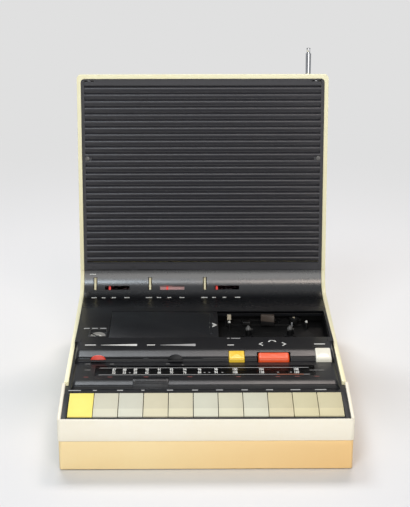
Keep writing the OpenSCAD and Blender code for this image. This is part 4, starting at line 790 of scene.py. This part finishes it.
def well_walls():
    """Walls of the cassette well: an outline carried round three sides, and a plate behind the drive."""
    inner = np.array([[WELL_X0, WELL_S1], [WELL_X0, WELL_S0], [WELL_X1, WELL_S0], [WELL_X1, WELL_S1]])
    outer = inner + SHEET * np.array([[-1, 0], [-1, -1], [1, -1], [1, 0]])
    low, high = WELL_Z, BED_Z - SHEET + 0.1
    outline = ((inner, high), (inner, low), (outer, low), (outer, high))
    rows = [put(line[:, 0], line[:, 1], z) for line, z in outline]
    faces = quads(4, 4, wrap_rows=True).tolist() + [[0, 4, 8, 12], [15, 11, 7, 3]]
    x, s = np.array([12, 127, 127, 12]), np.array([259.6, 259.6, 260.4, 260.4])
    return join((np.concatenate(rows), faces), prisms(put(x, s, 66.0), put(x, s, WELL_Z)))


piece("well_walls", well_walls(), well_black)


def dial_trough():
    """Shallow tray under the dial glass: a floor and four walls as one height field."""
    wall, step = 3.0, 0.02
    x0, s0, s1 = DIAL_HALF - wall, DIAL_S0 + wall, DIAL_S1 - wall

    def top(x, s):
        """The floor inside the walls, and the height of the walls elsewhere."""
        inside = (np.abs(x) < x0 - step / 2) & (s > s0 + step / 2) & (s < s1 - step / 2)
        return np.where(inside, DIAL_Z - 7.0, DIAL_Z - 2.0)
    xs = [-DIAL_HALF - wall, -x0, -x0 + step, x0 - step, x0, DIAL_HALF + wall]
    ss = [DIAL_S0 - wall, s0, s0 + step, s1 - step, s1, DIAL_S1 + wall]
    return plate(xs, ss, top, level(DIAL_Z - 9.0))


piece("dial_trough", dial_trough(), well_black)

# Hollow fascia
WHEEL_X = np.array([wheel.mid for wheel in wheels])
WINDOW_X, WINDOW_W = WHEEL_X + 10.5, 26.5
WHEEL_SLOT, WINDOW_SLOT = (17.2, 31.8), (17.47, 22.46)
FASCIA_START, FASCIA_END, FASCIA_T = -25.6, 39.18, 1.2


def hollow_fascia():
    """Thin sheet along the level and the arc, with wheel slots, windows and a plate behind each window."""
    holes = [(x - 2.0, x + 2.0, *WHEEL_SLOT) for x in WHEEL_X]
    holes += [(x, x + WINDOW_W, *WINDOW_SLOT) for x in WINDOW_X]
    xs = [v for hole in holes for v in hole[:2]] + [-PANEL_HALF, PANEL_HALF, 60, 90]
    along = np.concatenate([WHEEL_SLOT, WINDOW_SLOT, np.linspace(0, FASCIA_END, 40), [FASCIA_START, -12]])
    sheet = plate(xs, along, level(0.0), level(-FASCIA_T), holes, on_scoop)
    x = WINDOW_X[:, None] + np.array([-1.5, WINDOW_W + 1.5, WINDOW_W + 1.5, -1.5])
    a = np.array([16.0, 16.0, 24.0, 24.0])
    return join(sheet, prisms(on_scoop(x, a, -6.5), on_scoop(x, a, -7.5)))


piece("hollow_fascia", hollow_fascia(), fascia_black, stands_for=("control_fascia",),
      smooth=25.0)

# Ledge of the key bezel before the keys, a painted shade: a black strip that hides the key fronts, which lie
# in shadow
ledge_x, ledge_s = np.array([-125.4, 125.4, 125.4, -125.4]), np.array([3.6, 3.6, 7.1, 7.1])
key_shade_ledge = prisms(put(ledge_x, ledge_s, 48.9), put(ledge_x, ledge_s, 46.5))
piece("key_shade_ledge", key_shade_ledge, well_black)


# Buttons, rocker and knob

def control_cap(cap, s1, r):
    """Cap of a control: a crown that rises from its lip over a round shoulder and runs back almost level."""
    line = rounded_path([(s1, cap.z1), (CAP_S0 + 6, cap.z1 - 0.5), (CAP_S0, CAP_LIP_Z)], [4], 10)[::-1]

    def crown(x, s):
        """Height of the crown, the same all across."""
        return np.interp(s, line[:, 0], line[:, 1])
    return crowned_cap(cap.x0, cap.x1, CAP_S0, s1, CAP_Z0, crown, r)


for name, (finish, slot, r, short, _) in CAPS.items():
    cap = edges(name)
    form = control_cap(cap, cap.s1 - short, r)
    piece(name + "_cap", form, finish, body=name, stands_for=(name,))


def half_round_knob():
    """Slider knob: half an ellipse before the steep face, its outer edge rolled over in steps."""
    a = np.linspace(0, np.pi, 41)
    rings = []
    for inset, out in ((0, 0.3), (0, 1.3), (0.12, 1.75), (0.4, 2.1), (0.9, 2.3)):
        x = volume.mid + (KNOB_HALF - inset) * np.cos(a)
        up = 2.0 + 0.4 * inset + (4.6 - 1.4 * inset) * np.sin(a)
        rings.append(on_nose(x, up, out))
    return stacked(rings)


piece("volume_knob", half_round_knob(), red, body="volume_slider",
      stands_for=("volume_slider",))

# Level meter and window lining with a painted glow
METER_Z = 67.7
meter_scale = half_disc(meter.mid, 168.4, 8.6, 17.0, METER_Z, METER_Z + 0.12)
meter_scale_middle = half_disc(meter.mid, 168.6, 4.6, 8.4, METER_Z, METER_Z + 0.2)
piece("meter_scale", meter_scale, scale_grey)
piece("meter_scale_middle", meter_scale_middle, scale_pale)


def lit_box(x0, x1):
    """Lining of a preset window with a painted glow: its back and its upper wall, as two thin bent plates."""
    x = np.array([x0, x1, x1, x0])
    along, wall = np.array([17.9, 17.9, 22.1, 22.1]), np.array([-2.7, -2.7, -6.2, -6.2])
    back = prisms(on_scoop(x, along, -6.2), on_scoop(x, along, -6.3))
    upper = prisms(on_scoop(x, 22.2, wall), on_scoop(x, 22.3, wall))
    return join(back, upper)


glow_x0, glow_x1 = WINDOW_X[1] + 0.2, WINDOW_X[1] + WINDOW_W - 0.2
piece("painted_glow_scale", lit_box(glow_x0, glow_x1), painted_glow_pink)


# Printed marks

def marks(name, corners, z, finish, body="case"):
    """A piece of print on the level z, in one ink."""
    piece(name, flat_marks(np.concatenate(corners), z), finish, body=body)


def fascia_marks(spans, along, height):
    """Dashes on the hollow fascia: thin plates that follow its arc, centred on a place along it."""
    x0, x1 = np.array(spans).T
    x = np.stack([x0, x1, x1, x0], 1)
    a = along + height / 2 * np.array([-1, -1, 1, 1])
    return prisms(on_scoop(x, a, 0.05), on_scoop(x, a, -0.1))


def dial_numbers(values, s):
    """Plain numbers in a row at s on the dial.

    Each text is made a mesh of its own outline with a thin body, squeezed in its width and set at its place.
    """
    parts = []
    for value, x in zip(values, NUMBER_X):
        curve = bpy.data.curves.new("number", "FONT")
        curve.body = str(value)
        curve.size = 8.6 * MM
        curve.align_x, curve.align_y = "CENTER", "CENTER"
        curve.extrude = 0.05 * MM
        curve.offset = 0.16 * MM
        source = bpy.data.objects.new("number", curve)
        mesh = bpy.data.meshes.new_from_object(source)
        co = np.empty(len(mesh.vertices) * 3, np.float32)
        mesh.vertices.foreach_get("co", co)
        points = co.reshape(-1, 3) * (0.38, 1, 1) + put(x, s, DIAL_Z)
        parts.append((points, [list(p.vertices) for p in mesh.polygons]))
        bpy.data.objects.remove(source)
        bpy.data.curves.remove(curve)
        bpy.data.meshes.remove(mesh)
    return join(*parts)


ROCKER_X, LID_TOP = edges("transport_rocker").mid, DECK_Z - 0.2
arc = np.linspace(np.radians(20), np.radians(160), 13)
play_arc = np.stack([ROCKER_X + 3.7 * np.cos(arc), 146.4 + 6.6 * np.sin(arc)], 1)
volume_wedge = [[(-101.4, 140.7), (-66.1, 138.2), (-66.1, 143.8), (-101.4, 141.3)]]
tone_wedge = [[(-43.6, 140.2), (-8.8, 137.3), (-8.8, 143.9), (-43.6, 140.8)]]
meter_label = bars([(-121.3, -115.4), (-113.2, -107.0), (-105.0, -98.6)], 190.6, 2.6)
record_label = bars([(22.5, 25), (26.5, 35.5)], 159.4, 1.8)
control_labels = bars([(-117.1, -106.3), (-56.3, -48.5), (22.5, 28.7), (107.5, 118.3)],
                      [141.3, 140.8, 140, 142], 2.0)
marks("deck_marks", [
    control_labels, strokes([(57.2, 147.0), (53.8, 142.5), (57.2, 138.0)], 1.3),
    strokes([(76.3, 146.8), (79.7, 142.3), (76.3, 137.8)], 1.3), strokes(play_arc, 1.4), volume_wedge],
    DECK_Z, ink_white)
marks("deck_marks_dim", [tone_wedge, meter_label, record_label], DECK_Z, ink_grey)
lid_arrow = strokes([(6.3, 208), (12.2, 200.5), (6.3, 193)], 2.6)
marks("lid_arrow", [lid_arrow], LID_TOP, ink_white, body="cassette_lid")

KEY_LABELS = [(-127.0, -115.5), (-104.4, -100.7), (-82.1, -76.5), (-59.4, -56.6), (-35.7, -30.1),
              (-12.5, -6.9), (9.8, 16.3), (33.4, 39.2), (56.2, 62.7), (79.0, 88.2), (101.7, 112.3)]
marks("key_labels", [bars(KEY_LABELS, 53.4, 2.2)], STRIP_Z, ink_grey)

UPPER_LINE, LOWER_LINE, LINE_W = 97.3, 79.2, 0.9
UPPER_ROW, LOWER_ROW = 92.4, 84.6
marks("dial_lines", [
    bars([(-100.5, 99)], UPPER_LINE, LINE_W), bars([(-100.5, 68), (93, 99)], LOWER_LINE, LINE_W),
    dots([-71.3, -0.5, 4.0, 16.4, 69.0, 81.3], LOWER_ROW, 1.6, 1.6)], DIAL_Z, ink_grey)
marks("dial_line_warm", [bars([(68, 93)], LOWER_LINE, LINE_W)], DIAL_Z, ink_orange)
marks("dial_labels", [
    bars([(-115, -110), (-114.5, -109), (99.4, 113)], [108.5, 92.3, 90], 1.4),
    bars([(-91, -87.4), (-37.2, -33.6)], 108, 1.3),
    [[(-22.6, 105.8), (-21.3, 103.6), (-20.0, 105.8), (-21.3, 105.9)]]], DIAL_Z, ink_dim)
marks("dial_red_labels", [dots([-112, -89.4, -55.6, -14.3, 31.2, 68.3, 86.6, 105], 73.6, 4.4, 1.3)], DIAL_Z,
      ink_red)

FASCIA_DASHES = [(-119.6, -113.8), (-108.6, -104.5), (-97.8, -93.6), (-84.4, -78.9), (-61.3, -54.6),
                 (-49.4, -45.1), (-38.3, -34.1), (-25.2, -19.9), (-1.9, 4.8), (9.5, 13.8), (20.9, 25.0),
                 (34.2, 39.7)]
fascia_print = join(fascia_marks(FASCIA_DASHES, 4.9, 1.9), fascia_marks([(-122, -115.4)], 35.2, 0.7))
piece("fascia_marks", fascia_print, ink_white)

NUMBER_X = (-86.4, -76.4, -66.1, -55.1, -43.4, -31.9, -19.3, -5.2, 10.4, 28.3, 53.4, 86.6)
UPPER = (87, 88, 89, 90, 91, 92, 94, 96, 98, 100, 104, 108)
LOWER = (52, 55, 58, 62, 66, 70, 76, 84, 94, 108, 128, 160)
numbers = join(dial_numbers(UPPER, UPPER_ROW), dial_numbers(LOWER, LOWER_ROW))
piece("dial_numbers", numbers, ink_white)

# Camera, light and floor, in metres
scene = bpy.context.scene
camera = bpy.data.cameras.new("camera")
camera.lens = 110.06
camera.sensor_width = 36
camera.clip_end = 300
eye = bpy.data.objects.new("camera", camera)
eye.location = (-0.0145, -1.471, 0.587)
eye.rotation_euler = (np.radians(73.5), 0, np.radians(-0.6))
scene.collection.objects.link(eye)
scene.camera = eye


def softbox(name, place, target_z, size, power, colour):
    """A square area lamp at a place, turned to a height on the object's middle axis."""
    lamp = bpy.data.lights.new(name, "AREA")
    lamp.size = size
    lamp.energy = power
    lamp.color = colour
    obj = bpy.data.objects.new(name, lamp)
    obj.location = place
    x, y, z = np.array([0, 0, target_z]) - place
    obj.rotation_euler = (np.arctan2(np.hypot(x, y), -z), 0, np.arctan2(y, x) - np.pi / 2)
    scene.collection.objects.link(obj)


softbox("front_left", (-0.5, -1.6, 1.75), 0.1, 0.55, 15, (0.8, 0.91, 1.0))
softbox("front_right", (0.4, -1.5, 1.7), 0.1, 0.5, 8, (1.0, 0.86, 0.76))
softbox("front_fill", (0.1, -2.7, 1.0), 0.12, 1.6, 18, (1.0, 0.98, 0.95))
softbox("overhead_left", (-0.35, 0.95, 1.7), 0.1, 0.6, 14, (0.88, 0.94, 1.0))
softbox("overhead_right", (0.32, 0.95, 1.7), 0.1, 0.5, 12, (1.0, 0.88, 0.82))

world = bpy.data.worlds.new("studio")
scene.world = world
world.use_nodes = True
world.node_tree.nodes.clear()
sky = node(world.node_tree, "ShaderNodeBackground", inputs={"Color": (0.95, 0.97, 1.0, 1), "Strength": 0.3})
node(world.node_tree, "ShaderNodeOutputWorld", [("Surface", sky.outputs[0])])


def floor_paper():
    """Grey paper that takes the object's shadow and turns a plain pale tone away from it.

    The plain tone is for rays from the camera and for those that metal or glass send on.
    """
    m, tree, shader = start("floor_paper")
    shader.inputs["Base Color"].default_value = ink(226, 226, 226)
    shader.inputs["Roughness"].default_value = 0.7
    ray = node(tree, "ShaderNodeLightPath").outputs
    mirrored = combine(tree, "MAXIMUM", ray["Is Glossy Ray"], ray["Is Transmission Ray"])
    seen = combine(tree, "MAXIMUM", ray["Is Camera Ray"], mirrored)
    reach = node(tree, "ShaderNodeVectorMath", [(0, own_place(tree))], operation="LENGTH").outputs["Value"]
    far = combine(tree, "MULTIPLY", seen, ramp(tree, reach, 0.3, 1.3, interpolation_type="SMOOTHSTEP"))
    pale = node(tree, "ShaderNodeEmission", inputs={"Color": ink(224, 224, 224), "Strength": 1.0})
    mixed = node(tree, "ShaderNodeMixShader", [(0, far), (1, shader.outputs[0]), (2, pale.outputs[0])])
    output = next(n for n in tree.nodes if n.type == "OUTPUT_MATERIAL")
    tree.links.new(mixed.outputs[0], output.inputs["Surface"])
    return m


FLOOR_HALF, FLOOR_ROWS = 90, 7
floor_x, floor_y = np.meshgrid(*2 * [np.linspace(-FLOOR_HALF, FLOOR_HALF, FLOOR_ROWS)])
floor_points = np.stack([floor_x, floor_y, 0 * floor_x], -1).reshape(-1, 3)
floor_mesh = bpy.data.meshes.new("floor")
floor_mesh.from_pydata(floor_points.tolist(), [], quads(FLOOR_ROWS, FLOOR_ROWS).tolist())
floor_mesh.materials.append(floor_paper())
floor = bpy.data.objects.new("floor", floor_mesh)
scene.collection.objects.link(floor)

scene.view_settings.view_transform = "Standard"
